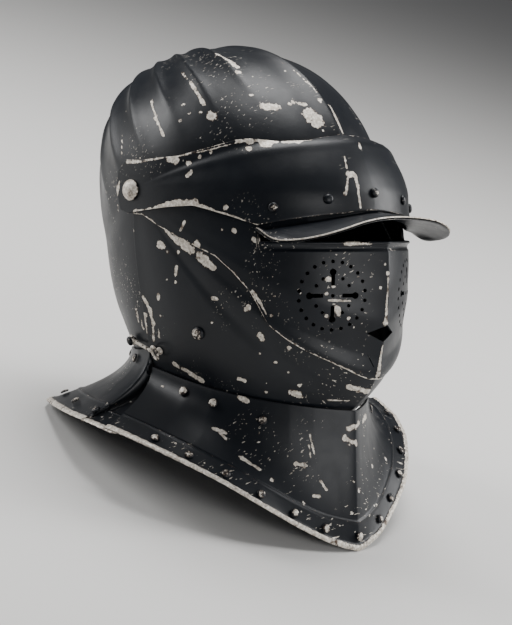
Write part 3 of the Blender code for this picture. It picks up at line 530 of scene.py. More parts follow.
def skullPoints(away, around):  # angles off the finial and round it, in degrees
    tilt = radians(skull["finialAngle"])
    axis = np.array([0, -cos(tilt), sin(tilt)])
    ahead = np.array([0, -sin(tilt), -cos(tilt)])
    side = np.array([1.0, 0, 0])
    a, b = np.radians(away)[..., None], np.radians(around)[..., None]
    direction = axis * np.cos(a) + (ahead * np.cos(b) + side * np.sin(b)) * np.sin(a)
    turn = np.minimum(np.abs((around + 180) % 360 - 180), 180.0)
    step = (180.0 - skull["firstRidge"]) / (skull["ridges"] / 2 - 1)
    places = [0.0] + [skull["firstRidge"] + i * step for i in range(skull["ridges"] // 2)]
    lift = np.zeros(turn.shape)
    for i, place in enumerate(places):
        spread = step * 0.5 if i else step * 0.62
        off = np.abs(turn - place) / spread
        crest = np.exp(-(off * 3.0) ** 2) * 0.35 + np.clip(1 - off, 0, 1) ** 1.7 * 0.65
        start = np.clip((away - 9) / 36, 0, 1) ** 0.9
        fade = start * np.clip((88 - away) / 46, 0, 1) ** 1.1
        if i == 0:
            fade = start * np.clip((130 - away) / 22, 0, 1) * 0.95
        lift = np.maximum(lift, crest * fade)
    return direction * (skullReach(direction) * width + skull["ridgeHeight"] / 1000 * lift)[..., None]


def buildSkull():
    arounds = np.linspace(0, 360, int(skull["columns"] * fine) + 1)
    steps = np.linspace(0, 165, 200)
    grid = skullPoints(*np.meshgrid(steps, arounds))
    inside = withinEdge(edges["skull"], -grid[..., 1] / width, grid[..., 2] / width)
    last = np.array([np.argmin(row) - 1 if not row.all() else len(steps) - 1 for row in inside])
    low, high = steps[last], steps[np.minimum(last + 1, len(steps) - 1)]
    for i in range(18):
        mid = (low + high) / 2
        p = skullPoints(mid, arounds)
        ok = withinEdge(edges["skull"], -p[:, 1] / width, p[:, 2] / width)
        low, high = np.where(ok, mid, low), np.where(ok, high, mid)
    share01 = np.linspace(0, 1, int(skull["rows"] * fine) + 1)
    away = low[None, :] * share01[:, None]
    points = skullPoints(away, np.broadcast_to(arounds, away.shape))
    out = points / np.linalg.norm(points, axis=-1, keepdims=True)
    flat = points.reshape(-1, 3)
    dents = (wavy(flat, 0.011, 0.4) * 0.00010 + wavy(flat, 0.026, 1.9) * 0.00022).reshape(points.shape[:2])
    shell = gridSheet("skullShell", toRest(points + out * (dents * np.clip(away / 20, 0, 1))[..., None]))
    mergeDoubles(shell)
    faceOut(shell, toRest((0, 0.02, 0)))
    rim = toRest(points[-1])
    thicken(shell, helmet["plate"])
    wearFrom(shell, skullMarks, (rim, 0.0016, 0.45))
    finish(shell, "skull_body", finishes["plate"], ["skull"])
    print("skull", len(shell.data.polygons))


buildSkull()

# brow plate, face guard and chin guard
browPlate = {"columns": 330, "rows": 46}
faceGuard = {"columns": 350, "rows": 84, "rollHeight": 1.15, "grooveDepth": 0.85}
chinGuard = {"columns": 300, "rows": 92}
browMarks = [
    (-101, 56, 201, -101, 43, 206, 1.2, 0.85), (-101, 43, 206, -94, 14, 221, 0.8, 0.62),
    (-94, 14, 221, -85, 0, 230, 0.8, 0.6), (-85, 0, 230, -73, -12, 240, 0.8, 0.6),
    (-73, -12, 241, -63, -20, 245, 1.2, 0.85), (-66, -17, 243, 2.2, 1.0),
    (-97, 21, 216, -95, 16, 216, 2.6, 1.0),
    (-92, 7, 218, 2.1, 1.0), (-95, 3, 211, -94, 2, 214, 1.8, 1.0), (-88, 3, 224, 1.4, 0.9),
    (-85, -2, 229, 1.3, 0.9), (-69, -20, 238, 2.4, 0.95), (-67, -21, 235, 1.2, 0.8),
    (-62, -20, 245, -54, -28, 246, 2.0, 0.95), (-62, -25, 243, -58, -27, 243, 2.2, 1.0),
    (-50, -31, 247, -41, -36, 249, 1.9, 0.95), (-41, -36, 250, -32, -39, 252, 0.8, 0.8),
    (-102, 57, 178, -102, 58, 186, 1.1, 0.9), (-102, 36, 173, -100, 23, 179, 1.3, 0.95),
    (-100, 23, 179, -100, 9, 188, 1.8, 0.95), (-100, 9, 188, -95, -10, 196, 3.0, 1.0),
    (-95, -10, 195, -91, -21, 196, 1.8, 1.0), (-91, -21, 196, -81, -41, 197, 1.3, 0.95),
    (-81, -41, 197, -73, -52, 195, 1.0, 0.9), (-86, -30, 201, 1.8, 0.95),
    (3, -33, 257, 6, -39, 256, 1.0, 0.9),
    (3, -47, 253, 2, -50, 251, 1.2, 0.9), (-16, -55, 247, -18, -61, 241, 0.9, 0.95),
    (-19, -65, 238, -14, -65, 238, 2.0, 1.0), (-20, -66, 235, -24, -72, 227, 1.0, 0.95),
    (-25, -72, 227, 1.9, 1.0), (-13, -66, 237, -14, -74, 228, 1.2, 1.0),
    (-14, -74, 228, -13, -78, 220, 1.0, 0.95),
    (70, -40, 224, 2.0, 0.9), (92, 12, 214, 88, 2, 222, 1.2, 0.85), (101, 30, 178, 98, 4, 189, 1.6, 0.95)]
faceMarks = [
    (-94, -5, 182, -95, -4, 175, 1.0, 0.95), (-92, -18, 172, -91, -20, 171, 1.9, 0.95),
    (-85, -31, 186, 1.2, 0.85), (-81, -38, 188, 1.7, 1.0), (-75, -51, 187, -73, -53, 187, 1.5, 1.0),
    (-29, -87, 199, -22, -91, 200, 1.4, 1.0),
    (-22, -91, 200, -12, -94, 202, 1.0, 0.8), (-3, -104, 190, 1.0, 0.85), (-1, -107, 185, 1.3, 0.9),
    (-1, -108, 182, -1, -114, 162, 0.8, 0.72), (-1, -114, 162, -1, -116, 154, 1.0, 0.8),
    (-1, -116, 153, 1.8, 0.9), (-6, -108, 175, 1.5, 0.9), (0, -119, 138, 0, -121, 129, 1.0, 0.85),
    (0, -121, 129, -1, -122, 118, 1.4, 0.95),
    (-40, -91, 175, -37, -92, 175, 1.5, 0.95), (-36, -94, 171, 1.3, 0.9), (-40, -94, 166, 1.6, 0.9),
    (-39, -96, 162, -26, -103, 164, 0.8, 0.95), (-34, -100, 158, -32, -101, 155, 2.2, 0.9),
    (-39, -98, 152, 1.6, 0.9), (-65, -75, 143, 1.2, 0.85), (-65, -73, 156, 1.1, 0.85),
    (-26, -106, 153, 1.3, 0.9), (-22, -109, 148, 1.1, 0.85), (-74, -61, 155, -70, -67, 149, 1.2, 0.9),
    (-70, -67, 149, -67, -72, 143, 0.9, 0.8),
    (-56, -86, 163, 1.2, 0.9), (60, -70, 150, 1.6, 0.9), (80, -38, 176, 1.5, 0.9)]
chinMarks = [
    (-96, 9, 170, -94, -2, 166, 1.4, 0.95), (-94, -2, 168, -91, -14, 165, 3.4, 1.0),
    (-89, -21, 164, -86, -29, 161, 3.4, 1.0), (-86, -29, 161, -85, -32, 160, 2.4, 1.0),
    (-97, 11, 159, -96, 8, 159, 2.5, 1.0), (-95, 3, 157, 1.8, 0.95), (-93, -5, 160, 1.4, 0.95),
    (-93, -7, 150, -93, -8, 145, 1.5, 0.95), (-92, -9, 140, 1.4, 0.9), (-94, -2, 139, 1.0, 0.85),
    (-92, 3, 126, -93, 3, 123, 1.3, 0.9), (-84, -37, 140, -82, -40, 141, 1.2, 0.95),
    (-80, -45, 136, 1.1, 0.85), (-82, -41, 124, 1.4, 0.9), (-72, -60, 143, -72, -59, 141, 1.8, 0.95),
    (-65, -70, 128, -64, -72, 125, 2.0, 1.0),
    (-52, -86, 125, 1.6, 0.95), (-55, -81, 112, 1.3, 0.9), (-92, 18, 118, -91, 10, 112, 1.7, 0.8),
    (-91, 10, 112, -88, 6, 104, 2.0, 0.85), (-88, 6, 104, -84, 5, 91, 1.5, 0.78), (-90, -1, 112, 1.4, 0.85),
    (-86, 0, 100, -86, 0, 96, 1.6, 0.8), (-91, 14, 106, -86, 12, 92, 2.4, 0.66),
    (-78, -14, 82, -76, -25, 82, 1.9, 0.85), (-76, -25, 82, -72, -38, 80, 2.0, 0.9),
    (-65, -62, 92, -62, -65, 92, 1.5, 0.9), (-52, -77, 88, 1.4, 0.85),
    (-41, -89, 93, -37, -93, 92, 3.0, 1.0), (-40, -93, 100, 1.5, 0.95),
    (-20, -104, 93, -8, -111, 95, 1.0, 0.8),
    (-14, -112, 107, -1, -117, 105, 2.0, 1.0), (50, -86, 110, 2.0, 0.95), (88, -8, 120, 2.4, 0.9),
    (78, -18, 82, 66, -50, 82, 1.6, 0.85)]


def faceRelief(points, down, fwd):  # turned sight edge with a sunk line under it
    d = down * 1000
    along = np.clip((fwd - 0.885) / 0.12, 0, 1) * np.clip((points[..., 2] / width + 0.60) / 0.05, 0, 1)
    roll = np.sqrt(np.clip(1 - ((d - 1.15) / 1.15) ** 2, 0, 1)) * faceGuard["rollHeight"]
    groove = -np.sin(np.clip((d - 2.3) / 4.2, 0, 1) * pi) * faceGuard["grooveDepth"]
    return (roll + groove) * along / 1000


def plateRim(points):
    return np.concatenate([points[0], points[-1], points[:, 0], points[:, -1]])


def buildPlain(name, plate, span, spec, marks, rimWear, node):  # a plate without holes or relief
    sheet, points = plateSheet(name, plate, *span, spec["columns"], (0,), spec["rows"], None)
    setCoords(sheet, toRest(coords(sheet)))
    thicken(sheet, helmet["plate"])
    wearFrom(sheet, marks, (toRest(plateRim(points)), *rimWear))
    finish(sheet, plate + "_body", finishes["plate"], [node])
    print(name, len(sheet.data.polygons))


breath = {"ring": 0.0225, "hole": 0.0013}


def breathTools():  # all that is cut out of the face guard, as one piece
    tools = []

    def drill(spot, axis, radius, sides=16):
        deselect()
        turn = Vector(axis).to_track_quat("Z", "Y")
        bpy.ops.mesh.primitive_cylinder_add(vertices=sides, radius=radius, depth=0.024, location=spot,
                                            rotation=turn.to_euler())
        tools.append(bpy.context.object)

    def punch(spots, axis):  # an outline pushed through the plate
        deselect()
        bpy.ops.mesh.primitive_circle_add(vertices=len(spots), fill_type="NGON")
        tool = bpy.context.object
        for v, spot in zip(tool.data.vertices, spots):
            v.co = Vector(spot) - Vector(axis) * 0.012
        bpy.ops.object.mode_set(mode="EDIT")
        bpy.ops.mesh.select_all(action="SELECT")
        bpy.ops.mesh.extrude_region_move(TRANSFORM_OT_translate={"value": Vector(axis) * 0.024})
        bpy.ops.mesh.select_all(action="SELECT")
        bpy.ops.mesh.normals_make_consistent(inside=False)
        bpy.ops.object.mode_set(mode="OBJECT")
        tools.append(tool)

    for hand in (-1, 1):
        middle = Vector((hand * 0.356, -1.204, -0.679)) * width
        axis = Vector((hand * 0.52, -0.85, 0.0)).normalized()
        side = Vector((-axis.y, axis.x, 0)).normalized()
        up = axis.cross(side)
        at = lambda u, v: middle + side * u + up * v
        for i in range(22):
            a = 2 * pi * (i + 0.5) / 22
            drill(at(breath["ring"] * cos(a), breath["ring"] * sin(a)), axis, breath["hole"])
        drill(at(0, 0), axis, breath["hole"])
        for quarter in range(4):
            q = pi / 2 * quarter
            for shift in (-14, 14):
                a, r = q + radians(45 + shift), breath["ring"] * 0.57
                drill(at(r * cos(a), r * sin(a)), axis, breath["hole"] * 0.95)
            near, far = breath["ring"] * 0.29, breath["ring"] * 0.69
            half, lobe = breath["hole"], breath["hole"] * 1.75
            key = [(near, -half), (far - lobe * 0.8, -half)]
            key += [(far + lobe * cos(radians(t)), lobe * sin(radians(t))) for t in range(-140, 141, 20)]
            key += [(far - lobe * 0.8, half), (near, half)]
            punch([at(u * cos(q) - v * sin(q), u * sin(q) + v * cos(q)) for u, v in key], axis)
    diamond = [(0.118, -0.928), (0.008, -0.874), (-0.128, -0.925), (-0.005, -0.984)]
    punch([Vector((u, -1.34, v)) * width for u, v in diamond], (0, -1, 0))
    # the crack below the lozenge
    crack = [(-0.10, -1.062), (-0.075, -1.095), (-0.045, -1.148), (-0.050, -1.151), (-0.082, -1.098)]
    punch([Vector((u, -1.34, v)) * width for u, v in crack], (0, -1, 0))
    joined = joinPieces(tools)
    setCoords(joined, toRest(coords(joined)))
    return joined


def buildFace():
    depths = (0, 0.15, 0.4, 0.7, 1.15, 1.6, 1.9, 2.15, 2.3, 2.7, 3.3, 4.0, 4.6, 5.2, 5.8, 6.5, 7.2)
    sheet, points = plateSheet("faceGuardShell", "face", -1.40, 0.20, faceGuard["columns"], depths,
                               faceGuard["rows"], faceRelief)
    setCoords(sheet, toRest(coords(sheet)))
    thicken(sheet, helmet["plate"], 0.0005)
    tool = breathTools()
    whole = len(sheet.data.polygons)
    modifier(sheet, "BOOLEAN", operation="DIFFERENCE", solver="EXACT", object=tool)
    print("face guard before and after its holes", whole, len(sheet.data.polygons))
    bpy.data.objects.remove(tool, do_unlink=True)
    # the lower edge's rim wear is set high so its bare metal runs bright all along the seam: partly real
    # edge wear, partly a painted highlight standing in for the edge's missing highlight
    wearFrom(sheet, faceMarks, (toRest(points[-1]), 0.0023, 0.72))
    finish(sheet, "face_body", finishes["plate"], ["face_guard"])
    print("face guard", len(sheet.data.polygons))


buildPlain("browPlateShell", "brow", (-0.30, 0.45), browPlate, browMarks, (0.0019, 0.55), "brow_plate")
buildFace()
buildPlain("chinGuardShell", "chin", (-1.56, 0.20), chinGuard, chinMarks, (0.0015, 0.4), "chin_guard")

# gorget plates: neck line and rim, each as across, forward and up
collarFront = {"columns": 300, "rows": 60, "line": 0.80, "table": [
    (0.000, 1.088, -1.448, 0.0, 1.115, -2.368), (0.128, 1.030, -1.437, 0.130, 1.105, -2.335),
    (0.260, 0.958, -1.420, 0.265, 1.080, -2.285), (0.392, 0.860, -1.397, 0.490, 1.000, -2.165),
    (0.515, 0.740, -1.369, 0.715, 0.905, -2.020), (0.618, 0.607, -1.338, 0.910, 0.765, -1.875),
    (0.700, 0.448, -1.300, 1.090, 0.590, -1.745), (0.747, 0.270, -1.258, 1.220, 0.395, -1.640),
    (0.778, 0.000, -1.193, 1.300, 0.190, -1.560), (0.782, -0.058, -1.178, 1.330, 0.110, -1.535)]}
collarRear = {"columns": 260, "rows": 46, "line": 0.78, "table": [
    (0.000, -0.735, -1.075, 0.0, -1.175, -1.470), (0.155, -0.718, -1.075, 0.250, -1.175, -1.470),
    (0.300, -0.673, -1.075, 0.480, -1.175, -1.470), (0.440, -0.601, -1.075, 0.700, -1.165, -1.470),
    (0.562, -0.503, -1.075, 0.860, -1.080, -1.462), (0.664, -0.382, -1.075, 0.985, -0.850, -1.480),
    (0.735, -0.250, -1.075, 1.130, -0.540, -1.500), (0.776, -0.088, -1.075, 1.245, -0.230, -1.515),
    (0.785, -0.080, -1.275, 1.246, -0.222, -1.517), (0.755, 0.030, -1.305, 1.262, -0.050, -1.546),
    (0.735, 0.100, -1.330, 1.250, 0.080, -1.578), (0.710, 0.170, -1.360, 1.185, 0.160, -1.572)]}
collarMarks = [
    (-102, -1, 43, -105, -12, 50, 2.6, 0.85), (-105, -14, 51, -102, -19, 53, 2.2, 0.9),
    (-110, -19, 49, -119, -22, 47, 2.8, 1.0), (-119, -22, 47, -127, -23, 45, 1.6, 1.0),
    (-93, 39, 36, -96, 27, 41, 1.0, 0.9), (-82, -11, 64, 1.4, 0.9), (-84, -21, 62, 1.4, 0.9),
    (-84, -24, 60, 1.3, 0.9), (-90, -40, 58, -88, -43, 57, 1.5, 1.0), (-79, -65, 58, -74, -71, 57, 1.6, 1.0),
    (-77, -70, 57, -75, -75, 54, 1.0, 0.95), (-87, -64, 53, -84, -67, 53, 1.4, 0.9),
    (-86, -56, 56, -82, -61, 56, 0.9, 0.85), (-103, -45, 51, 1.8, 0.95), (-106, -56, 48, 1.8, 0.95),
    (-82, -82, 46, -78, -87, 46, 1.0, 0.85), (-72, -89, 47, -69, -93, 46, 1.3, 0.95),
    (-69, -93, 46, -63, -100, 43, 1.1, 0.95), (-39, -109, 49, -34, -112, 49, 2.0, 0.8),
    (-57, -108, 38, 1.6, 0.9), (-39, -125, 28, 1.5, 0.9), (-31, -125, 32, -27, -127, 32, 1.4, 0.9),
    (-25, -122, 41, -21, -126, 36, 1.1, 0.95), (-29, -105, 68, -27, -112, 56, 0.8, 0.9),
    (-30, -107, 62, -29, -111, 54, 0.8, 0.8), (-5, -116, 75, 5, -114, 78, 2.2, 0.85),
    (15, -110, 77, 25, -105, 77, 2.4, 0.85), (-8, -118, 70, 0, -120, 66, 2.8, 0.8),
    (31, -117, 44, 1.6, 0.95), (-2, -131, 43, 1.4, 0.9), (10, -128, 45, 1.2, 0.85), (3, -133, 36, 2.0, 0.75),
    (-62, -65, 79, -58, -69, 78, 1.8, 0.95), (85, -70, 50, 2.2, 0.95), (95, -30, 52, 1.8, 0.9),
    (60, -105, 40, 1.8, 0.9), (40, 95, 45, 2.2, 0.9),
    (-30, 105, 40, 2.0, 0.9)]


def seated(table, plate, lowestEdge, overlap=0.085):  # the neck line lies on the plate that it is riveted to
    keep = dict(plates[plate])
    keep["inset"] = keep["inset"] - 1
    extra = helmet["layer"] / width
    rows = []
    for x, f, u, rx, rf, ru in table:
        factor = 0.0
        for up in (u, u - overlap):
            low, high = 0.7, 1.3
            for i in range(30):
                mid = (low + high) / 2
                half = 1.0 - keep["inset"] * extra
                angle = np.degrees(np.arctan2(up, f * mid))
                reach = share(keep["rows"], 1, angle) + extra
                full = share(keep["rows"], 2, angle)
                out = np.hypot(f * mid, up) + keep["keel"] * abs(x) * mid * (1 - abs(x) * mid / half)
                if (abs(x) * mid / half) ** full + (out / reach) ** full < 1:
                    low = mid
                else:
                    high = mid
            factor = max(factor, low)
        if u < lowestEdge:
            factor = 1.0
        rows.append((x * factor, f * factor, u, rx, rf, ru))
    return np.array(rows)


def alongTable(table, signs, stations):  # smooth and straight lines through the mirrored rows
    last = len(table) - 1
    s = np.clip(np.abs(stations), 0, last)
    i = np.minimum(s.astype(int), last - 1)
    t = (s - i)[:, None]
    full = np.concatenate([(table * np.array(signs))[1:2], table, 2 * table[-1:] - table[-2:-1]])
    a, b, c, d = full[i], full[i + 1], full[i + 2], full[i + 3]
    smooth = b + 0.5 * t * (c - a + t * (2 * a - 5 * b + 4 * c - d + t * (3 * (b - c) + d - a)))
    return smooth, b * (1 - t) + c * t


def collarPoints(rows, stations, downs):
    hand = np.where(stations < 0, -1.0, 1.0)
    smooth, straight = alongTable(rows, (-1, 1, 1, -1, 1, 1), stations)
    mixed = 0.55 * smooth + 0.45 * straight
    neck, rim = (np.stack([hand * mixed[:, k], -mixed[:, k + 1], mixed[:, k + 2]], -1) * width
                 for k in (0, 3))
    knee = neck.copy()
    knee[:, 2] += 0.5 * (rim[:, 2] - neck[:, 2])
    w = downs[:, None, None]
    return neck * (1 - w) ** 2 + knee * 2 * w * (1 - w) + rim * w ** 2


def buildCollar(name, spec, rows, body, node):
    last = len(rows) - 1
    stations = np.linspace(-last, last, int(spec["columns"] * fine) // 2 * 2 + 1)
    downs = np.concatenate([np.linspace(0, spec["line"] - 0.03, int(spec["rows"] * fine)),
                            spec["line"] + np.array([-0.022, -0.014, -0.007, 0.0, 0.007, 0.014, 0.024]),
                            np.linspace(spec["line"] + 0.035, 0.945, int(12 * fine) + 2),
                            np.linspace(0.955, 1.0, 9)])
    points = collarPoints(rows, stations, downs)
    out = gridNormals(points)
    middle = points * [0, 0, 1] - [0, 0, 0.02]
    out *= np.where((out * (points - middle)).sum() < 0, -1, 1)
    d = downs[:, None]
    past = d - spec["line"]
    ridge = 0.75 * np.exp(-(past / 0.011) ** 2) + 0.30 * np.clip(past / 0.02, 0, 1)
    ridge = ridge * np.clip((0.965 - d) / 0.02, 0, 1)
    ends = np.clip((last - np.abs(stations)) / 0.15, 0, 1)[None, :]
    roll = 1.5 * np.sqrt(np.clip(1 - ((d - 0.978) / 0.024) ** 2, 0, 1))
    rope = 1 + 0.16 * np.sin(np.arange(len(stations))[None, :] * (1.35 / fine) + d * 30)
    lift = ridge * ends + roll * rope
    flat = points.reshape(-1, 3)
    dents = (wavy(flat, 0.010, 2.4) * 0.00012 + wavy(flat, 0.03, 0.9) * 0.00035).reshape(points.shape[:2])
    dents = dents * np.clip(d / 0.2, 0, 1) * np.clip((0.97 - d) / 0.1, 0, 1)
    points = points + out * (lift / 1000 + dents)[..., None]
    floor = toRest(points)
    floor[..., 2] = np.maximum(floor[..., 2], 0.0001)
    sheet = gridSheet(name, floor)
    faceOut(sheet, toRest((0, 0, -0.15)))
    thicken(sheet, helmet["plate"], 0.0003)
    low = coords(sheet)
    low[:, 2] -= low[:, 2].min() * np.clip(1 - low[:, 2] / 0.02, 0, 1)  # the rim rests on the floor
    setCoords(sheet, np.clip(low, np.array(cadBox[0]), np.array(cadBox[1])))
    crest = int(np.argmin(np.abs(downs - 0.978)))
    rimLine = toRest(points[crest - 2:].reshape(-1, 3))
    lineRow = toRest(points[int(np.argmin(np.abs(downs - spec["line"])))])
    wearFrom(sheet, collarMarks, (rimLine, 0.0024, 0.86), (lineRow, 0.0014, 0.42))
    finish(sheet, body, finishes["collar"], [node])
    print(name, len(sheet.data.polygons))


frontRows = seated(collarFront["table"], "chin", -1.51)
rearRows = seated(collarRear["table"], "skull", -1.16)
buildCollar("gorgetFrontShell", collarFront, frontRows, "chin_body", "gorget_front")
buildCollar("gorgetRearShell", collarRear, rearRows, "skull_body", "gorget_rear")

# peak over the eyes: fold across and up, edge across, forward and up
peak = {"columns": 190, "rows": 30, "table": [
    (0.0, -0.156, 0.0, 1.470, -0.182), (0.13, -0.168, 0.200, 1.487, -0.190),
    (0.27, -0.188, 0.370, 1.490, -0.214), (0.41, -0.209, 0.505, 1.455, -0.254),
    (0.53, -0.229, 0.618, 1.360, -0.296),
    (0.63, -0.244, 0.695, 1.220, -0.323), (0.69, -0.254, 0.728, 1.050, -0.322),
    (0.722, -0.242, 0.742, 0.905, -0.252)]}


def browInside(across, up):  # on the brow plate's inner face at that height
    depth = (helmet["layer"] + 0.0004) / width
    half, angle = 1.0 - depth, 0.0
    for i in range(12):
        full = share(plates["brow"]["rows"], 2, angle)
        reach = share(plates["brow"]["rows"], 1, angle) - depth
        turn = np.arcsin(np.clip((abs(across) / half) ** (full / 2), 0, 1))
        out = reach * np.cos(turn) ** (2 / full) - 0.03 * abs(across) * (1 - abs(across) / half)
        angle = np.degrees(np.arcsin(np.clip(up / out, -1, 1)))
    return Vector((across, -out * cos(radians(angle)), out * sin(radians(angle))))


def buildPeak():
    table = np.array(peak["table"])
    last = len(table) - 1
    stations = np.linspace(-last, last, int(peak["columns"] * fine) // 2 * 2 + 1)
    rows = []
    for s, m in zip(stations, alongTable(table, (-1, 1, -1, 1, 1), stations)[0]):
        hand = -1 if s < 0 else 1
        fold = browInside(m[0], m[1])
        fold.x *= hand
        edge = Vector((hand * m[2], -m[3], m[4]))
        back = Vector((fold.x, fold.y, 0)).normalized()
        run = edge - fold
        top = fold - back * 0.035 + Vector((0, 0, 0.150))
        curve = [top.lerp(fold - back * 0.006 + Vector((0, 0, 0.020)), k / 6) for k in range(6)]
        curve += [fold - back * 0.004 + Vector((0, 0, 0.012)), fold + run * 0.03 + Vector((0, 0, 0.003))]
        for k in np.linspace(0.08, 0.95, int(peak["rows"] * fine)):
            sag = 0.012 * 4 * k * (1 - k)
            curve.append(fold + run * k + Vector((0, 0, sag)))
        for k, rise in ((0.962, 0.004), (0.974, 0.0075), (0.986, 0.0085), (0.996, 0.006), (1.0, 0.001)):
            curve.append(fold + run * k + Vector((0, 0, rise)))
        rows.append([tuple(p) for p in curve])
    points = np.array(rows).transpose(1, 0, 2) * width
    sheet = gridSheet("peakShell", toRest(points))
    faceOut(sheet, toRest((0, -0.12, -0.09)))
    thicken(sheet, helmet["plate"], 0.0004)
    setCoords(sheet, np.clip(coords(sheet), np.array(cadBox[0]), np.array(cadBox[1])))
    rim = toRest(points[-4:].reshape(-1, 3))
    wearFrom(sheet, [], (rim, 0.0022, 0.80))
    finish(sheet, "brow_body", finishes["plate"], ["peak"])
    print("peak", len(sheet.data.polygons))


buildPeak()

# rivets, bolts, finial and hook
rivets = {"headRise": 0.62, "segments": 20, "chinSpread": 1.3}


def headFrom(node):  # centre, outward axis and radius of a rivet head in the frame
    mesh = frame["nodes"][node].data
    points = np.unique(np.round(np.array([v.co for v in mesh.vertices]), 6), axis=0)
    middle = points.mean(0)
    _, _, axes = np.linalg.svd(points - middle)
    axis = axes[2]
    along = (points - middle) @ axis
    radial = np.linalg.norm(points - middle - np.outer(along, axis), axis=1)
    if along[np.argmin(radial)] < 0:
        axis, along = -axis, -along
    return Vector(middle + axis * along.min()), Vector(axis), radial.max(), along.max() - along.min()


def turnedPiece(name, profile, at, axis, segments=28):  # a profile spun round an axis
    deselect()
    bpy.ops.mesh.primitive_plane_add(size=0.001)
    piece = bpy.context.object
    piece.name = name
    piece.data.clear_geometry()
    links = [(i, i + 1) for i in range(len(profile) - 1)]
    piece.data.from_pydata([(r, 0, z) for r, z in profile], links, [])
    bpy.ops.object.mode_set(mode="EDIT")
    bpy.ops.mesh.select_all(action="SELECT")
    bpy.ops.mesh.spin(steps=segments, angle=2 * pi, center=(0, 0, 0), axis=(0, 0, 1))
    bpy.ops.object.mode_set(mode="OBJECT")
    mergeDoubles(piece, 0.00001)
    turn = Vector(axis).to_track_quat("Z", "Y").to_matrix().to_4x4()
    piece.data.transform(Matrix.Translation(at) @ turn)
    return piece


def domeProfile(radius, height, steps=7):
    return [(0.0, 0.0), (radius, 0.0)] + [(radius * cos(pi / 2 * k / steps) ** 0.8,
                                           height * (0.12 + 0.88 * sin(pi / 2 * k / steps)))
                                          for k in range(steps)] + [(0.0, height)]


def buildRivets():
    for body, nodes in frame["record"]["behaviour"]["bodies"].items():
        for node in nodes:
            if "rivet" not in node or node == "hook_rivet":
                continue
            at, axis, radius, rise = headFrom(node)
            if node.startswith("chin"):
                radius, rise = radius * rivets["chinSpread"], rise * rivets["chinSpread"]
            rise = min(rise, radius * rivets["headRise"])
            head = turnedPiece(node + "_head", domeProfile(radius, rise), at, axis, rivets["segments"])
            points = coords(head)
            top = ((points - np.array(at)) @ np.array(axis)) / rise
            base = 0.12 if node.startswith("brow") else 0.30
            setWear(head, base + 0.28 * np.clip(top, 0, 1))
            finish(head, body, finishes["small"], [node], angle=50)
    print("rivets done")


bolts = {"head": 0.0072, "shank": 0.0038, "depth": 0.0084}


def buildBolts():
    for side, hand in (("right", -1), ("left", 1)):
        node = "pivot_bolt_" + side
        low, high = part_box(node)
        top = high[0] if hand > 0 else -low[0]
        face = width + helmet["layer"] - helmet["plate"]
        r, rise = bolts["head"], top - face
        start = width - bolts["depth"]
        profile = [(0, start), (bolts["shank"], start), (bolts["shank"], face), (r, face),
                   (r * 1.0, face + rise * 0.16), (r * 0.93, face + rise * 0.36),
                   (r * 0.78, face + rise * 0.62), (r * 0.56, face + rise * 0.83),
                   (r * 0.30, face + rise * 0.96), (0, face + rise)]
        bolt = turnedPiece("pivotBolt_" + side, profile, Vector(helmet["pivot"]), (hand, 0, 0), 24)
        setWear(bolt, np.where(coords(bolt)[:, 0] * hand > face + rise * 0.3, 0.95, 0.45))
        finish(bolt, "skull_body", finishes["small"], [node], 50)
    print("bolts done")


finial = {"radius": 0.0047, "height": 0.0070}


def buildFinial():
    tilt = radians(skull["finialAngle"])
    axis = toRest((0, -cos(tilt), sin(tilt))) - toRest((0, 0, 0))
    top = skullPoints(np.zeros(1), np.zeros(1))[0]
    r, h = finial["radius"], finial["height"]
    profile = [(0, -0.0006), (r * 1.25, -0.0006), (r * 1.25, h * 0.06), (r * 1.12, h * 0.16),
               (r * 0.84, h * 0.25), (r * 0.80, h * 0.42), (r * 0.9, h * 0.55), (r, h * 0.64),
               (r * 1.0, h * 0.84), (r * 0.86, h * 0.95), (r * 0.45, h * 0.96), (r * 0.36, h * 0.80),
               (0, h * 0.78)]
    knob = turnedPiece("finialKnob", profile, Vector(toRest(top)) + Vector(axis) * 0.0007, axis, 24)
    finish(knob, "skull_body", finishes["small"], ["finial"], angle=50)
    print("finial done")


hook = {"at": (-0.07488, 0.03205, 0.08002), "axis": (-0.86891, 0.20045, -0.45257), "bar": 0.0032,
        "ring": 0.0056, "wire": 0.00095, "lift": 0.0016, "ringLift": 0.0014}


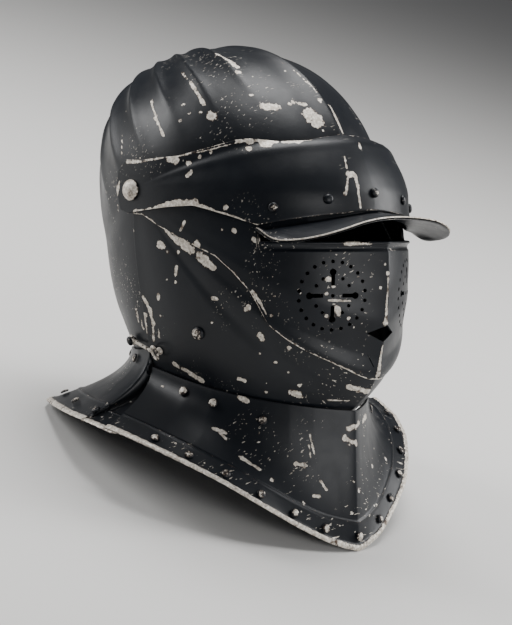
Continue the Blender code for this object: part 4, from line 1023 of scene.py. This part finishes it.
def buildHook():
    at, out = Vector(hook["at"]), Vector(hook["axis"]).normalized()
    studAt, studAxis, studRadius, studRise = headFrom("stud")
    along = studAt - at
    along = (along - out * along.dot(out)).normalized()
    side = out.cross(along)
    length = (studAt - at).dot(along)
    place = Matrix(((along.x, side.x, out.x, at.x), (along.y, side.y, out.y, at.y),
                    (along.z, side.z, out.z, at.z), (0, 0, 0, 1)))
    height = hook["lift"] + hook["bar"] * 0.4
    deselect()
    bpy.ops.mesh.primitive_torus_add(major_radius=hook["ring"] - hook["wire"], minor_radius=hook["wire"],
                                     major_segments=36, minor_segments=12,
                                     location=(length, 0, hook["ringLift"]))
    ring = bpy.context.object
    bpy.ops.mesh.primitive_torus_add(major_radius=0.0029, minor_radius=0.00115, major_segments=28,
                                     minor_segments=12, location=(0, 0, height))
    eye = bpy.context.object
    bpy.ops.mesh.primitive_cube_add(size=1, location=(length / 2, 0, height),
                                    scale=(length - hook["ring"] - 0.0026, 0.0027, 0.0019))
    bar = bpy.context.object
    bpy.ops.object.transform_apply(location=True, rotation=True, scale=True)
    bpy.ops.object.mode_set(mode="EDIT")
    bpy.ops.mesh.select_all(action="SELECT")
    bpy.ops.mesh.subdivide(number_cuts=3)
    bpy.ops.object.mode_set(mode="OBJECT")
    for v in bar.data.vertices:  # waisted between its ends, and sloping down to the ring
        t = abs(v.co.x - length / 2) / (length / 2)
        v.co.y *= 0.72 + 0.55 * t ** 2
        v.co.z += (hook["ringLift"] - height) * v.co.x / length
    modifier(bar, "BEVEL", width=0.0005, segments=3, limit_method="ANGLE")
    latch = joinPieces((ring, eye, bar))
    latch.name = "hookLatch"
    latch.data.transform(place)
    setWear(latch, np.full(len(latch.data.vertices), 0.63))
    finish(latch, "hook_body", finishes["small"], ["hook"], angle=50)
    profile = [(0, 0.0004), (0.0014, 0.0004), (0.0014, 0.0046), (0.0034, 0.0046), (0.0033, 0.0054),
               (0.0026, 0.0063), (0.0014, 0.0068), (0, 0.0069)]
    pin = turnedPiece("hookPin", profile, at, out, 20)
    finish(pin, "skull_body", finishes["small"], ["hook_rivet"], angle=50)
    post = turnedPiece("hookStud", domeProfile(studRadius, studRise), studAt, studAxis, 20)
    setWear(post, np.full(len(post.data.vertices), 0.75))
    finish(post, "chin_body", finishes["small"], ["stud"], angle=50)
    print("hook done")


buildRivets()
buildBolts()
buildFinial()
buildHook()

# floor, light and camera
studio = {"floor": (0.72, 0.71, 0.69), "world": 0.10,
          "camera": (-0.91304, -0.83048, 0.50071), "lens": 105.0,
          "right": (0.70711, -0.65904, 0.25626), "up": (0.03417, 0.39383, 0.91855),
          "view": (0.70628, 0.64076, -0.301)}
lamps = [  # name, place, aimed at, width, height, watts
    ("topSoft", (0.25, 0.35, 1.45), (0.0, 0.0, 0.20), 0.9, 0.9, 26),
    ("leftBack", (-0.75, 1.15, 0.70), (-0.05, 0.10, 0.20), 0.35, 1.0, 16),
    ("rightSide", (1.10, -0.55, 0.70), (0.0, 0.0, 0.20), 0.45, 0.9, 15),
    ("frontSoft", (-0.20, -1.50, 0.62), (0.0, -0.05, 0.14), 0.9, 0.5, 9)]


def buildStudio():
    deselect()
    bpy.ops.mesh.primitive_plane_add(size=14)
    floor = bpy.context.object
    floor.name = "studioFloor"
    pale = bpy.data.materials.new("paleFloor")
    pale.use_nodes = True
    pale.node_tree.nodes["Principled BSDF"].inputs["Base Color"].default_value = (*studio["floor"], 1)
    pale.node_tree.nodes["Principled BSDF"].inputs["Roughness"].default_value = 0.85
    floor.data.materials.append(pale)
    world = bpy.data.worlds.new("softRoom")
    bpy.context.scene.world = world
    world.use_nodes = True
    world.node_tree.nodes["Background"].inputs["Color"].default_value = (0.93, 0.95, 1.0, 1)
    world.node_tree.nodes["Background"].inputs["Strength"].default_value = studio["world"]
    for name, place, target, wide, tall, watts in lamps:
        lamp = bpy.data.lights.new(name, "AREA")
        lamp.shape, lamp.size, lamp.size_y, lamp.energy = "RECTANGLE", wide, tall, watts
        holder = bpy.data.objects.new(name, lamp)
        holder.location = place
        holder.rotation_euler = (Vector(target) - Vector(place)).to_track_quat("-Z", "Y").to_euler()
        bpy.context.collection.objects.link(holder)
    eye = bpy.data.cameras.new("camera")
    eye.lens, eye.sensor_width, eye.clip_end = studio["lens"], 36.0, 50.0
    holder = bpy.data.objects.new("camera", eye)
    right, up, view = (Vector(studio[k]).normalized() for k in ("right", "up", "view"))
    holder.matrix_world = Matrix(((right.x, up.x, -view.x, studio["camera"][0]),
                                  (right.y, up.y, -view.y, studio["camera"][1]),
                                  (right.z, up.z, -view.z, studio["camera"][2]), (0, 0, 0, 1)))
    bpy.context.collection.objects.link(holder)
    bpy.context.scene.camera = holder
    print("studio done")


buildStudio()
